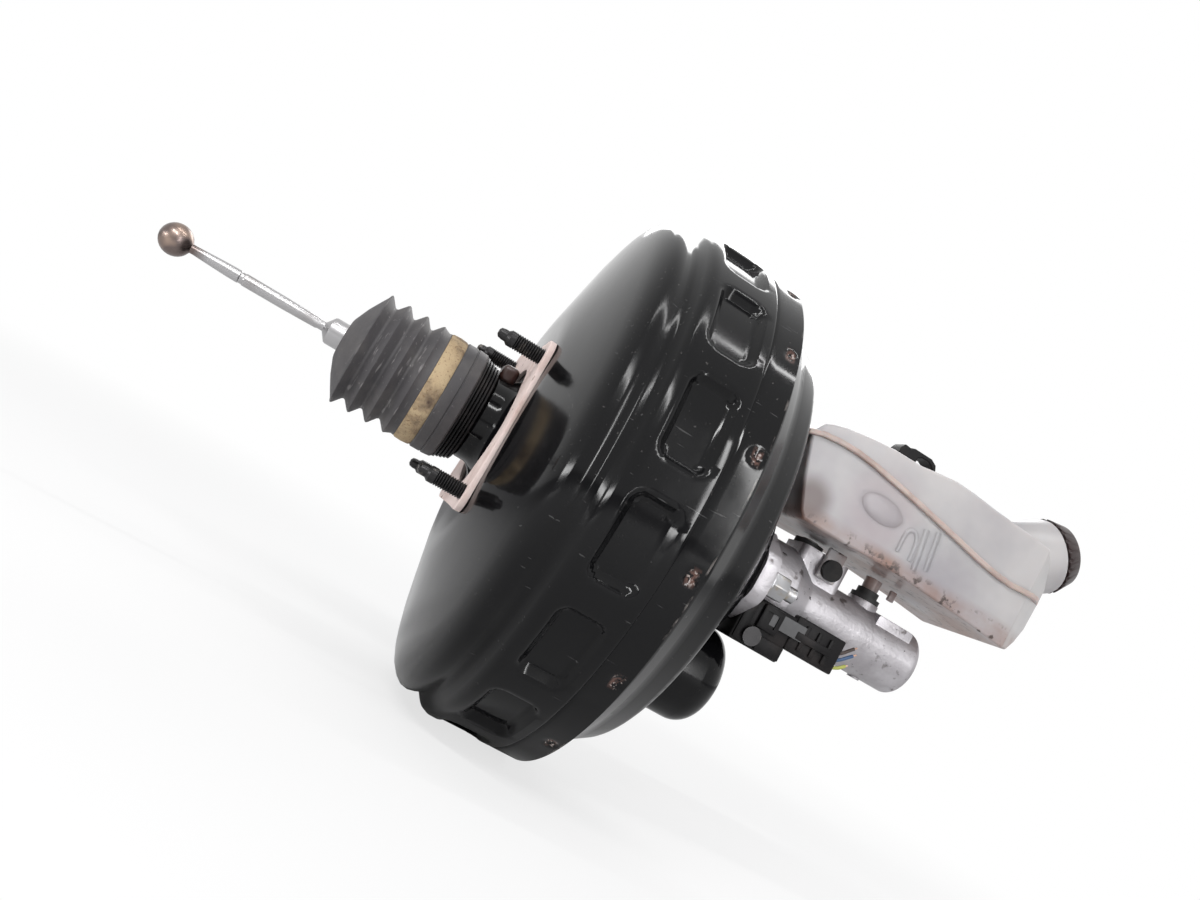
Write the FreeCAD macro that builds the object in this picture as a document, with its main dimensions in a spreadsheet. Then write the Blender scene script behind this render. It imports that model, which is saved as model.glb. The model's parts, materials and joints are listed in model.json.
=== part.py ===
import FreeCAD, Part
import os
import re
import Sketcher
from FreeCAD import Placement, Rotation, Vector

# Vacuum brake booster with its tandem master cylinder, fluid reservoir and pressure sensor.
# Millimetres. +X runs along the booster's axis from the pedal towards the master cylinder,
# +Z is up, and the origin is the centre of the rear shell's mounting face.

DRIVING_SIZES = {
    # pressed steel shells
    "shell_wall": 1.8,
    "face_radius": 66,
    "shoulder_x": 12.5,
    "shoulder_radius": 119,
    "bead_x": 21,
    "bead_depth": 6,
    "groove_x": 29,
    "groove_depth": 7.7,
    "band_x": 37.5,
    "band_radius": 138,
    "rim_x": 85,
    "pocket_x": 54,
    "pocket_length": 20,
    "pocket_width": 35,
    "pocket_depth": 4.5,
    "pocket_count": 16,
    "pocket_phase": 14,
    "crimp_x": 80.7,
    "crimp_length": 3.2,
    "crimp_width": 8,
    "crimp_depth": 2.2,
    "crimp_wall": 1.2,
    "lap_x": 76,
    "lap_gap": 0.2,
    "front_wall_radius": 133,
    "front_step_x": 97,
    "front_step_radius": 122,
    "front_corner_x": 110,
    "front_corner_radius": 114.5,
    "front_pad_x": 142,
    "front_pad_radius": 50,
    "front_bore_radius": 19.3,
    "dome_radius": 27,
    "dome_drop": 60,
    "dome_x": 165,
    # neck at the pedal side
    "neck_radius": 18.5,
    "neck_length": 46,
    "neck_flare": 9,
    "filter_rear_x": -42,
    "filter_front_x": -33,
    "collar_front_x": -21,
    "retainer_front_x": -12.5,
    "sleeve_radius": 29.4,
    "seat_gap": 0.15,
    "lug_width": 15,
    "lug_height": 12,
    "lug_length": 9,
    # dust boot
    "boot_wall": 1.8,
    "ridge_radius": 30.2,
    "valley_radius": 25.6,
    "ridge_pitch": 9.7,
    "last_ridge_x": -47,
    "boot_lip_x": -86,
    # pedal side fasteners and gasket
    "stud_spacing_y": 90,
    "stud_spacing_z": 72,
    "stud_radius": 4,
    "stud_relief": 0.2,
    "stud_hole_gap": 0.05,
    "stud_length": 26,
    "stud_pilot_radius": 2.7,
    "stud_pilot_length": 5,
    "stud_head_radius": 7,
    "stud_head_height": 2.5,
    "gasket_thickness": 3,
    "gasket_margin": 9,
    "gasket_bore_radius": 33,
    # push rod and its end inside the valve body
    "ball_radius": 8,
    "ball_x": -174.1,
    "ball_neck_radius": 2.4,
    "rod_radius": 3.2,
    "rod_end_x": -99,
    "stub_radius": 7,
    "stub_rear_x": -95,
    "stub_front_x": -83,
    "inner_rod_radius": 5,
    "rod_tip_radius": 4.6,
    "rod_tip_x": -13,
    # valve body and piston plate
    "valve_neck_radius": 14.5,
    "valve_bore_radius": 11,
    "valve_rear_x": -62,
    "valve_seat_x": -16,
    "plunger_radius": 6,
    "plunger_front_x": 17.9,
    "plunger_collar_radius": 8.5,
    "running_gap": 0.05,
    "valve_flange_x": 10,
    "valve_flange_radius": 40,
    "plate_x": 16,
    "plate_wall": 1.5,
    "hub_radius": 24,
    "hub_front_x": 34,
    "disc_bore_radius": 13,
    "disc_x": 20.2,
    "disc_thickness": 3.6,
    "plate_knee_radius": 58,
    "plate_edge_x": 26,
    "plate_edge_gap": 25,
    "plate_lip_x": 40,
    "diaphragm_wall": 1.8,
    "output_rod_radius": 5,
    "output_rod_tip_x": 106,
    "return_spring_radius": 28,
    "return_spring_wire": 1.9,
    "return_spring_turns": 6,
    "spring_gap": 0.3,
    # master cylinder
    "spigot_rear_x": 112,
    "spigot_radius": 17.6,
    "flange_thickness": 8,
    "flange_lug_radius": 11,
    "flange_spacing": 76,
    "flange_hole_gap": 0.3,
    "big_section_radius": 25.5,
    "big_section_x": 174,
    "body_radius": 18.5,
    "taper_x": 186,
    "cylinder_end_x": 262,
    "cylinder_bore_radius": 11.9,
    "bore_end_x": 250,
    "tower_rear_x": 172,
    "tower_front_x": 202,
    "tower_half_width": 13,
    "tower_top_z": 30,
    "rear_inlet_x": 179.5,
    "front_inlet_x": 224,
    "inlet_radius": 4,
    "socket_radius": 6.2,
    "outlet_rear_x": 192,
    "outlet_front_x": 238,
    "outlet_reach": 33,
    "outlet_boss_radius": 10,
    "outlet_hole_radius": 5.45,
    "outlet_depth": 14,
    "primary_rear_x": 98,
    "primary_front_x": 176,
    "secondary_rear_x": 206,
    "secondary_front_x": 222,
    "cup_width": 5,
    "piston_spring_radius": 8.5,
    "piston_spring_wire": 1.2,
    "nut_rear_gap": 0.1,
    "nut_flats": 13,
    "nut_collar_radius": 9.5,
    "nut_collar_height": 2.5,
    "nut_height": 12,
    "front_stud_tip_x": 168,
    # fluid reservoir
    "tank_wall": 2.4,
    "tank_half_width": 40,
    "tank_floor_z": 34,
    "tank_floor_rear_x": 150,
    "tank_rear_x": 134,
    "tank_front_x": 304,
    "clip_rear_x": 197.5,
    "clip_front_x": 214,
    "clip_tip_x": 223,
    "clip_half_width": 6,
    "clip_top_z": 107.4,
    "clip_thickness": 2.4,
    "seam_rear_z": 76,
    "seam_crest_x": 161,
    "seam_crest_z": 80.5,
    "seam_foot_x": 266,
    "seam_foot_z": 62.5,
    "seam_front_z": 67,
    "seam_round": 30,
    "seam_flange": 2.5,
    "seam_height": 3,
    "roof_rear_x": 148,
    "roof_rear_z": 87.5,
    "roof_mid_x": 180,
    "roof_mid_z": 92,
    "roof_front_x": 226,
    "roof_front_z": 95.5,
    "roof_end_x": 286,
    "roof_end_z": 92,
    "cap_tilt": 31,
    "cap_base_x": 312.5,
    "cap_base_z": 97.3,
    "collar_depth": 30,
    "neck_lip": 4,
    "neck_outer_radius": 16.4,
    "neck_inner_radius": 14,
        "cap_radius": 21.5,
    "cap_height": 9.5,
    "cap_slope": 22,
    "cap_wall": 2.4,
    "cap_rib_count": 24,
    "strainer_radius": 13.4,
    "strainer_depth": 30,
    "leg_radius": 4.5,
    "pin_x": 190,
    "pin_z": 23.5,
    "pin_radius": 3,
    "pin_head_radius": 5.7,
    "ear_thickness": 3,
    "ear_width": 12,
    # pressure sensor and connector
    "sensor_rear_x": 150.3,
    "sensor_front_x": 180,
    "sensor_near_y": -31,
    "sensor_far_y": -6,
    "sensor_low_z": -33.4,
    "sensor_high_z": -8,
    "plug_front_x": 210,
    "plug_far_y": -20,
    "plug_low_z": -25,
    "plug_high_z": -6,
    # vacuum check valve on the far side
    "valve_y": 82,
    "valve_z": 18,
    "valve_pad_x": 131,
    "valve_body_radius": 11,
    "hose_radius": 6,
}

NAME = re.compile(r"[a-z][a-z_]+(?![a-z_]*\()")

doc = FreeCAD.newDocument("BrakeBooster")
sheet = doc.addObject("Spreadsheet::Sheet", "Sizes")
for row, (alias, number) in enumerate(DRIVING_SIZES.items(), start=1):
    sheet.set("A%d" % row, alias)
    sheet.set("B%d" % row, str(number))
    sheet.setAlias("B%d" % row, alias)
doc.recompute()

nodes = []


# Expressions over the sheet's names

def full(text):
    return NAME.sub(lambda match: "Sizes." + match.group(), text)


def value(text):
    return float(sheet.evalExpression(full(text)))


def bind(target, path, text):
    target.setExpression(path, full(text))


def keep(item, label):
    item.Label = label
    nodes.append(item)
    return item


# Sketches

def new_sketch(body, name, role, offset="0"):
    sketch = body.newObject("Sketcher::SketchObject", name)
    plane = [feature for feature in body.Origin.OriginFeatures if feature.Role == role][0]
    sketch.AttachmentSupport = [(plane, "")]
    sketch.MapMode = "FlatFace"
    bind(sketch, "AttachmentOffset.Base.z", offset)
    return sketch


def pin_point(sketch, geometry, end, across, up):
    for kind, text in (("DistanceX", across), ("DistanceY", up)):
        number = sketch.addConstraint(
            Sketcher.Constraint(kind, -1, 1, geometry, end, value(text)))
        bind(sketch, "Constraints[%d]" % number, text)


def add_radius(sketch, geometry, text):
    number = sketch.addConstraint(Sketcher.Constraint("Radius", geometry, value(text)))
    bind(sketch, "Constraints[%d]" % number, text)


def draw_outline(sketch, corners):
    """A closed outline: each corner is (across, up) or (across, up, rounding radius)."""
    first = sketch.GeometryCount
    points = [Vector(value(corner[0]), value(corner[1]), 0) for corner in corners]
    count = len(points)
    lines = [Part.LineSegment(points[i], points[(i + 1) % count]) for i in range(count)]
    sketch.addGeometry(lines)
    for i in range(count):
        following = (i + 1) % count
        sketch.addConstraint(Sketcher.Constraint("Coincident", first + i, 2, first + following, 1))
    for i, corner in enumerate(corners):
        pin_point(sketch, first + i, 1, corner[0], corner[1])
    for i, corner in enumerate(corners):
        if len(corner) == 3:
            arc = sketch.GeometryCount
            before = first + (i - 1) % count
            sketch.fillet(before, 2, value(corner[2]), True, True)
            add_radius(sketch, arc, corner[2])
    return sketch


def draw_circles(sketch, circles):
    """Circles as (across, up, radius)."""
    for across, up, radius in circles:
        centre = Vector(value(across), value(up), 0)
        number = sketch.addGeometry(Part.Circle(centre, Vector(0, 0, 1), value(radius)))
        pin_point(sketch, number, 3, across, up)
        add_radius(sketch, number, radius)
    return sketch


# Features

def new_body(label):
    return keep(doc.addObject("PartDesign::Body", label), label)


def turn(body, kind, name, corners, height="0"):
    """Revolve an outline, drawn as (x, radius), about the booster's axis or one above it."""
    sketch = draw_outline(new_sketch(body, name + "Outline", "XY_Plane", height), corners)
    feature = body.newObject("PartDesign::" + kind, name)
    feature.Profile = sketch
    feature.ReferenceAxis = (sketch, ["H_Axis"])
    feature.Angle = 360
    doc.recompute()
    return feature


def turned(label, corners):
    body = new_body(label)
    turn(body, "Revolution", label + "Turned", corners)
    return body


def ring(label, rear, front, inner, outer):
    return turned(label, [(rear, inner), (front, inner), (front, outer), (rear, outer)])


def extrude(body, kind, sketch, length, both_ways=False, backwards=False):
    before = body.Shape.Volume if body.Shape.Solids else 0
    feature = body.newObject("PartDesign::" + kind, sketch.Name + kind)
    feature.Profile = sketch
    bind(feature, "Length", length)
    feature.Midplane = both_ways
    feature.Reversed = backwards
    doc.recompute()
    after = body.Shape.Volume
    grew = after > before + 0.01
    shrank = after < before - 0.01
    if (kind == "Pad" and not grew) or (kind == "Pocket" and not shrank):
        raise RuntimeError("%s of %s changed nothing" % (kind, body.Label))
    return feature


def repeat_around(body, feature, count, name):
    pattern = body.newObject("PartDesign::PolarPattern", name)
    pattern.Originals = [feature]
    axis = [item for item in body.Origin.OriginFeatures if item.Role == "X_Axis"][0]
    pattern.Axis = (axis, [""])
    pattern.Angle = 360
    bind(pattern, "Occurrences", count)
    body.Tip = pattern
    doc.recompute()
    return pattern


# Primitives

def box(name, rear, near, low, length, width, height):
    solid = doc.addObject("Part::Box", name)
    for prop, text in (("Length", length), ("Width", width), ("Height", height),
                       ("Placement.Base.x", rear), ("Placement.Base.y", near),
                       ("Placement.Base.z", low)):
        bind(solid, prop, text)
    return solid


def cylinder(name, radius, height, centre, direction):
    """A cylinder from its base centre (three expressions) along a direction vector."""
    solid = doc.addObject("Part::Cylinder", name)
    bind(solid, "Radius", radius)
    bind(solid, "Height", height)
    solid.Placement = Placement(Vector(), Rotation(Vector(0, 0, 1), Vector(*direction)))
    for letter, text in zip("xyz", centre):
        bind(solid, "Placement.Base." + letter, text)
    return solid


def fused(label, shapes):
    result = doc.addObject("Part::MultiFuse", label)
    result.Shapes = shapes
    doc.recompute()
    return result


def cut(label, base, tool):
    result = doc.addObject("Part::Cut", label)
    result.Base = base
    result.Tool = tool
    doc.recompute()
    return result


def coil(label, radius, wire, rear, front, turns):
    """A helical spring of eight-sided wire about the booster's axis, from rear to front."""
    helix = doc.addObject("Part::Helix", label + "Helix")
    bind(helix, "Radius", radius)
    bind(helix, "Height", "(%s) - (%s) - 2 * (%s)" % (front, rear, wire))
    bind(helix, "Pitch", "((%s) - (%s) - 2 * (%s)) / (%s)" % (front, rear, wire, turns))
    section = doc.addObject("Part::RegularPolygon", label + "Section")
    section.Polygon = 8
    bind(section, "Circumradius", wire)
    section.Placement = Placement(Vector(), Rotation(Vector(1, 0, 0), 90))
    bind(section, "Placement.Base.x", radius)
    spring = doc.addObject("Part::Sweep", label)
    spring.Sections = [section]
    spring.Spine = (helix, [])
    spring.Solid = True
    spring.Frenet = True
    spring.Placement = Placement(Vector(), Rotation(Vector(0, 1, 0), 90))
    bind(spring, "Placement.Base.x", "(%s) + (%s)" % (rear, wire))
    doc.recompute()
    return keep(spring, label)


# Lengths that several pieces share

NECK_BORE = "(neck_radius - shell_wall)"
BAND_BORE = "(band_radius - shell_wall)"
BEAD_RADIUS = "(band_radius - bead_depth)"
GROOVE_RADIUS = "(band_radius - groove_depth)"
PLATE_EDGE = "(band_radius - plate_edge_gap)"
POCKET_FLOOR = "(band_radius - pocket_depth)"
HALF_Y = "(stud_spacing_y / 2)"
HALF_Z = "(stud_spacing_z / 2)"
FLANGE_FRONT = "(front_pad_x + flange_thickness)"
SPRING_SEAT = "(front_pad_x - shell_wall)"
BUSH_REAR = "(retainer_front_x - 17.5)"
BUSH_FRONT = "(retainer_front_x - 3.5)"


# Rear shell: neck, mounting face, cone, bead, groove and band, from one sheet

def make_rear_shell():
    body = turned("rear_shell", [
        ("-neck_length", NECK_BORE),
        ("-neck_length", "neck_radius"),
        ("0", "neck_radius", "neck_flare"),
        ("0", "face_radius", "neck_flare"),
        ("shoulder_x", "shoulder_radius", "neck_flare"),
        ("bead_x", BEAD_RADIUS, "2 * shell_wall"),
        ("groove_x", GROOVE_RADIUS, "2 * shell_wall"),
        ("band_x", "band_radius", "shell_wall"),
        ("rim_x", "band_radius"),
        ("rim_x", BAND_BORE),
        ("band_x + 0.45 * shell_wall", BAND_BORE),
        ("groove_x + 0.45 * shell_wall", GROOVE_RADIUS + " - shell_wall", "shell_wall"),
        ("bead_x + 0.1 * shell_wall", BEAD_RADIUS + " - shell_wall", "shell_wall"),
        ("shoulder_x + 0.9 * shell_wall", "shoulder_radius - 0.55 * shell_wall",
         "neck_flare - shell_wall"),
        ("shell_wall", "face_radius + 0.1 * shell_wall", "neck_flare - shell_wall"),
        ("shell_wall", NECK_BORE, "neck_flare + shell_wall"),
    ])
    phase = value("pocket_phase")
    # a closed tray inside the band carries each pocket's floor and walls
    steps = (
        ("Tray", "Pad", "pocket_length / 2 + shell_wall", "pocket_width / 2 + shell_wall",
         POCKET_FLOOR + " - shell_wall", "pocket_depth + 0.2", "pocket_x"),
        ("Pressing", "Pocket", "pocket_length / 2", "pocket_width / 2",
         POCKET_FLOOR, "2 * pocket_depth", "pocket_x"),
        ("CrimpTray", "Pad", "crimp_length / 2 + crimp_wall", "crimp_width / 2 + crimp_wall",
         "band_radius - crimp_depth - crimp_wall", "crimp_depth", "crimp_x"),
        ("Crimp", "Pocket", "crimp_length / 2", "crimp_width / 2",
         "band_radius - crimp_depth", "2 * pocket_depth", "crimp_x"),
    )
    for name, kind, half_length, half_width, level, depth, centre in steps:
        sketch = new_sketch(body, name, "XZ_Plane")
        draw_outline(sketch, [
            ("%s - (%s)" % (centre, half_length), "-(%s)" % half_width),
            ("%s + (%s)" % (centre, half_length), "-(%s)" % half_width),
            ("%s + (%s)" % (centre, half_length), half_width),
            ("%s - (%s)" % (centre, half_length), half_width),
        ])
        sketch.AttachmentOffset = Placement(Vector(), Rotation(Vector(-1, 0, 0), phase))
        bind(sketch, "AttachmentOffset.Rotation.Angle", "pocket_phase")
        bind(sketch, "AttachmentOffset.Base.y", "(%s) * sin(pocket_phase)" % level)
        bind(sketch, "AttachmentOffset.Base.z", "(%s) * cos(pocket_phase)" % level)
        doc.recompute()
        feature = extrude(body, kind, sketch, depth, backwards=(kind == "Pocket"))
        repeat_around(body, feature, "pocket_count", name + "Pattern")
    holes = new_sketch(body, "StudHoles", "YZ_Plane")
    draw_circles(holes, [
        (side_y + HALF_Y, side_z + HALF_Z, "stud_radius + stud_hole_gap")
        for side_y in ("-", "") for side_z in ("-", "")])
    extrude(body, "Pocket", holes, "4 * shell_wall", both_ways=True)
    return body


# Front shell: a stepped dish, cut out of a filled one, with a low dome and three openings

def make_front_shell():
    body = turned("front_shell", [
        ("lap_x", "0"),
        ("lap_x", BAND_BORE + " - lap_gap"),
        ("lap_x + shell_wall", BAND_BORE + " - lap_gap"),
        ("lap_x + shell_wall", "front_wall_radius", "shell_wall"),
        ("lap_x + 6 * shell_wall", "front_wall_radius", "4 * shell_wall"),
        ("front_step_x", "front_step_radius", "10 * shell_wall"),
        ("front_corner_x", "front_corner_radius", "4 * shell_wall"),
        ("front_pad_x - 2 * shell_wall", "front_pad_radius", "4 * shell_wall"),
        ("front_pad_x", "front_pad_radius - 2 * shell_wall", "shell_wall"),
        ("front_pad_x", "0"),
    ])
    turn(body, "Revolution", "Dome", [
        ("front_corner_x", "0"),
        ("front_corner_x", "dome_radius"),
        ("dome_x", "dome_radius", "dome_radius / 2"),
        ("dome_x", "0"),
    ], "-dome_drop")
    pad = draw_circles(new_sketch(body, "ValvePad", "YZ_Plane", "front_corner_x"),
                       [("valve_y", "valve_z", "valve_body_radius + 5")])
    extrude(body, "Pad", pad, "valve_pad_x - front_corner_x")
    turn(body, "Groove", "Hollow", [
        ("lap_x - shell_wall", "0"),
        ("lap_x - shell_wall", "front_wall_radius - shell_wall"),
        ("lap_x + 5.6 * shell_wall", "front_wall_radius - shell_wall", "4 * shell_wall"),
        ("front_step_x - 0.6 * shell_wall", "front_step_radius - 0.8 * shell_wall",
         "8 * shell_wall"),
        ("front_corner_x - 0.8 * shell_wall", "front_corner_radius - 0.9 * shell_wall",
         "3 * shell_wall"),
        ("front_pad_x - 3 * shell_wall", "front_pad_radius", "4 * shell_wall"),
        ("front_pad_x - shell_wall", "front_pad_radius - 3 * shell_wall", "shell_wall"),
        ("front_pad_x - shell_wall", "0"),
    ])
    turn(body, "Groove", "DomeHollow", [
        ("lap_x", "0"),
        ("lap_x", "dome_radius - shell_wall"),
        ("dome_x - shell_wall", "dome_radius - shell_wall", "dome_radius / 2 - shell_wall"),
        ("dome_x - shell_wall", "0"),
    ], "-dome_drop")
    hollow = draw_circles(new_sketch(body, "ValvePadHollow", "YZ_Plane", "lap_x"),
                          [("valve_y", "valve_z", "valve_body_radius + 5 - shell_wall")])
    extrude(body, "Pocket", hollow, "valve_pad_x - lap_x - shell_wall", backwards=True)
    openings = draw_circles(new_sketch(body, "Openings", "YZ_Plane", "lap_x"), [
        ("0", "0", "front_bore_radius"),
        ("-flange_spacing / 2", "0", "stud_radius + stud_hole_gap"),
        ("flange_spacing / 2", "0", "stud_radius + stud_hole_gap"),
        ("valve_y", "valve_z", "valve_body_radius"),
    ])
    extrude(body, "Pocket", openings, "dome_x - lap_x", backwards=True)
    return body


# Gasket, studs and nuts

def make_gasket():
    body = new_body("mounting_gasket")
    across = HALF_Y + " + gasket_margin"
    up = HALF_Z + " + gasket_margin"
    sketch = new_sketch(body, "Plate", "YZ_Plane")
    draw_outline(sketch, [
        ("-(%s)" % across, "-(%s)" % up, "gasket_margin"),
        (across, "-(%s)" % up, "gasket_margin"),
        (across, up, "gasket_margin"),
        ("-(%s)" % across, up, "gasket_margin"),
    ])
    draw_circles(sketch, [("0", "0", "gasket_bore_radius")])
    draw_circles(sketch, [
        (side_y + HALF_Y, side_z + HALF_Z, "stud_radius + stud_hole_gap")
        for side_y in ("-", "") for side_z in ("-", "")])
    extrude(body, "Pad", sketch, "gasket_thickness", backwards=True)
    return body


def make_mounting_studs():
    studs = []
    for name, side_y, side_z in (("NearLow", "-", "-"), ("NearHigh", "-", ""),
                                 ("FarLow", "", "-"), ("FarHigh", "", "")):
        place = (side_y + HALF_Y, side_z + HALF_Z)
        head = cylinder("Head" + name, "stud_head_radius", "stud_head_height",
                        ("shell_wall", place[0], place[1]), (1, 0, 0))
        neck = cylinder("Neck" + name, "stud_radius - stud_relief",
                        "gasket_thickness + shell_wall",
                        ("shell_wall", place[0], place[1]), (-1, 0, 0))
        shank = cylinder("Shank" + name, "stud_radius",
                         "stud_length - stud_pilot_length - gasket_thickness",
                         ("-gasket_thickness", place[0], place[1]), (-1, 0, 0))
        pilot = cylinder("Pilot" + name, "stud_pilot_radius", "stud_length + shell_wall",
                         ("shell_wall", place[0], place[1]), (-1, 0, 0))
        studs.append(fused("Stud" + name, [head, neck, shank, pilot]))
    group = doc.addObject("Part::Compound", "mounting_studs")
    group.Links = studs
    doc.recompute()
    return keep(group, "mounting_studs")


def make_front_fasteners():
    studs = []
    nuts = []
    for name, side in (("Near", "-"), ("Far", "")):
        middle = (side + "flange_spacing / 2", "0")
        head = cylinder("FrontHead" + name, "stud_head_radius", "stud_head_height",
                        (SPRING_SEAT,) + middle, (-1, 0, 0))
        shank = cylinder("FrontShank" + name, "stud_radius",
                         "front_stud_tip_x - " + SPRING_SEAT,
                         (SPRING_SEAT,) + middle, (1, 0, 0))
        studs.append(fused("FrontStud" + name, [head, shank]))
        collar = cylinder("NutCollar" + name, "nut_collar_radius", "nut_collar_height",
                          (FLANGE_FRONT,) + middle, (1, 0, 0))
        hexagon = doc.addObject("Part::Prism", "NutHexagon" + name)
        hexagon.Polygon = 6
        bind(hexagon, "Circumradius", "nut_flats / sqrt(3)")
        bind(hexagon, "Height", "nut_height")
        hexagon.Placement = Placement(Vector(), Rotation(Vector(0, 1, 0), 90))
        bind(hexagon, "Placement.Base.x", FLANGE_FRONT)
        bind(hexagon, "Placement.Base.y", middle[0])
        thread = cylinder("NutThread" + name, "stud_radius + nut_rear_gap", "2 * nut_height",
                          (FLANGE_FRONT + " - nut_height / 2",) + middle, (1, 0, 0))
        nuts.append(cut("Nut" + name, fused("NutBlank" + name, [collar, hexagon]), thread))
    for label, members in (("front_studs", studs), ("flange_nuts", nuts)):
        group = doc.addObject("Part::Compound", label)
        group.Links = members
        keep(group, label)
    doc.recompute()


# Pieces around the neck

def make_neck_pieces():
    seat = "(neck_radius + seat_gap)"
    ring("filter_ring", "filter_rear_x", "filter_front_x", seat, "sleeve_radius")
    turned("boot_collar", [
        ("filter_front_x", seat),
        ("collar_front_x", seat),
        ("collar_front_x", "sleeve_radius", "1"),
        ("filter_front_x", "sleeve_radius", "1"),
    ])
    step = "((retainer_front_x - collar_front_x) / 4)"
    turned("retainer_ring", [
        ("collar_front_x", seat),
        ("retainer_front_x", seat),
        ("retainer_front_x", "sleeve_radius - 4"),
        ("retainer_front_x - " + step, "sleeve_radius - 4"),
        ("retainer_front_x - " + step, "sleeve_radius - 2"),
        ("collar_front_x + 2 * " + step, "sleeve_radius - 2"),
        ("collar_front_x + 2 * " + step, "sleeve_radius - 3.5"),
        ("collar_front_x + " + step, "sleeve_radius - 3.5"),
        ("collar_front_x + " + step, "sleeve_radius - 1"),
        ("collar_front_x", "sleeve_radius - 1"),
    ])
    blank = box("LugBlank", "retainer_front_x + seat_gap", "-lug_width / 2", "neck_radius / 2",
                "lug_length", "lug_width", "neck_radius / 2 + lug_height")
    rounded = doc.addObject("Part::Fillet", "LugRounded")
    rounded.Base = blank
    doc.recompute()
    top = value("neck_radius + lug_height")
    rounded.Edges = [(i + 1, 3.0, 3.0) for i, edge in enumerate(blank.Shape.Edges)
                     if all(abs(v.Point.z - top) < 0.01 for v in edge.Vertexes)]
    bore = cylinder("LugBore", "neck_radius + 0.26 * neck_flare", "2 * lug_length",
                    ("retainer_front_x - lug_length / 2", "0", "0"), (1, 0, 0))
    keep(cut("neck_lug", rounded, bore), "neck_lug")


def make_boot():
    lip = "(stub_radius + seat_gap)"
    outer = [("boot_lip_x", lip), ("boot_lip_x", lip + " + 2 * boot_wall")]
    inner = []
    first_ridge = "last_ridge_x - 3 * ridge_pitch"
    outer.append(("boot_lip_x + 3", "ridge_radius - 12"))
    inner.append(("boot_lip_x + 3", lip))
    inner.append(("boot_lip_x + 3 + boot_wall", "ridge_radius - 14"))
    for step in range(4):
        ridge = "last_ridge_x - %d * ridge_pitch" % (3 - step)
        outer.append((ridge, "ridge_radius", "0.8"))
        inner.append((ridge, "ridge_radius - 1.6 * boot_wall", "0.5"))
        if step < 3:
            valley = ridge + " + ridge_pitch / 2"
            outer.append((valley, "valley_radius + 0.6 * boot_wall", "0.5"))
            inner.append((valley, "valley_radius - boot_wall", "0.8"))
    outer.append(("filter_rear_x", "sleeve_radius - 0.5"))
    outer.append(("filter_rear_x", "neck_radius + seat_gap"))
    inner.append(("filter_rear_x - boot_wall", "valley_radius - boot_wall"))
    inner.append(("filter_rear_x - boot_wall", "neck_radius + seat_gap"))
    return turned("dust_boot", outer + inner[::-1])


def make_neck_bore_pieces():
    ring("guide_bush", BUSH_REAR, BUSH_FRONT, "valve_neck_radius + running_gap",
         NECK_BORE + " - 0.02")
    ring("neck_seal", BUSH_FRONT + " + seat_gap", BUSH_FRONT + " + 6",
         "valve_neck_radius + 2 * running_gap", NECK_BORE + " - 0.02")


# Push rod with its plunger: they travel together

def make_push_rod():
    turned("push_rod", [
        ("ball_x + ball_radius / 2", "0"),
        ("ball_x + ball_radius / 2", "ball_neck_radius"),
        ("ball_x + 1.2 * ball_radius", "ball_neck_radius"),
        ("ball_x + 3.5 * ball_radius", "rod_radius", "20"),
        ("rod_end_x", "rod_radius"),
        ("rod_end_x + 1", "ball_neck_radius"),
        ("stub_rear_x", "ball_neck_radius"),
        ("stub_rear_x + 2", "stub_radius", "1"),
        ("stub_front_x", "stub_radius"),
        ("stub_front_x", "inner_rod_radius"),
        ("rod_tip_x - 3 * rod_tip_radius", "inner_rod_radius"),
        ("rod_tip_x - 2 * rod_tip_radius", "ball_neck_radius"),
        ("rod_tip_x", "ball_neck_radius"),
        ("rod_tip_x", "0"),
    ])
    body = nodes[-1]
    for name, place, radius in (("PedalBall", "ball_x", "ball_radius"),
                                ("TipBall", "rod_tip_x", "rod_tip_radius")):
        sphere = body.newObject("PartDesign::AdditiveSphere", name)
        bind(sphere, "Radius", radius)
        bind(sphere, "AttachmentOffset.Base.x", place)
        sphere.AttachmentSupport = [
            ([item for item in body.Origin.OriginFeatures if item.Role == "XY_Plane"][0], "")]
        sphere.MapMode = "FlatFace"
        doc.recompute()


def make_plunger():
    rear = "(valve_seat_x - 4.5)"
    turned("plunger", [
        (rear, "rod_tip_radius + 0.1"),
        (rear, "plunger_collar_radius"),
        (rear + " + 2", "plunger_collar_radius"),
        (rear + " + 2", "plunger_radius"),
        ("plunger_front_x", "plunger_radius"),
        ("plunger_front_x", "0"),
        ("rod_tip_x + rod_tip_radius + 0.1", "0"),
        ("rod_tip_x + rod_tip_radius + 0.1", "rod_tip_radius + 0.1"),
    ])
    ring("spring_seat", "valve_rear_x + 1.5", "valve_rear_x + 3",
         "inner_rod_radius + 0.02", "valve_bore_radius - 0.4")


# Power piston: valve body, plate, diaphragm, reaction disc, output rod and springs

def make_valve_body():
    turned("valve_body", [
        ("valve_rear_x", "valve_bore_radius"),
        ("valve_rear_x", "valve_neck_radius"),
        ("valve_flange_x", "valve_neck_radius", "2"),
        ("valve_flange_x", "valve_flange_radius"),
        ("plate_x", "valve_flange_radius"),
        ("plate_x", "hub_radius"),
        ("hub_front_x", "hub_radius"),
        ("hub_front_x", "disc_bore_radius"),
        ("disc_x - 0.1", "disc_bore_radius"),
        ("disc_x - 0.1", "plunger_radius + running_gap"),
        ("valve_seat_x", "plunger_radius + running_gap"),
        ("valve_seat_x", "valve_bore_radius"),
    ])


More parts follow.
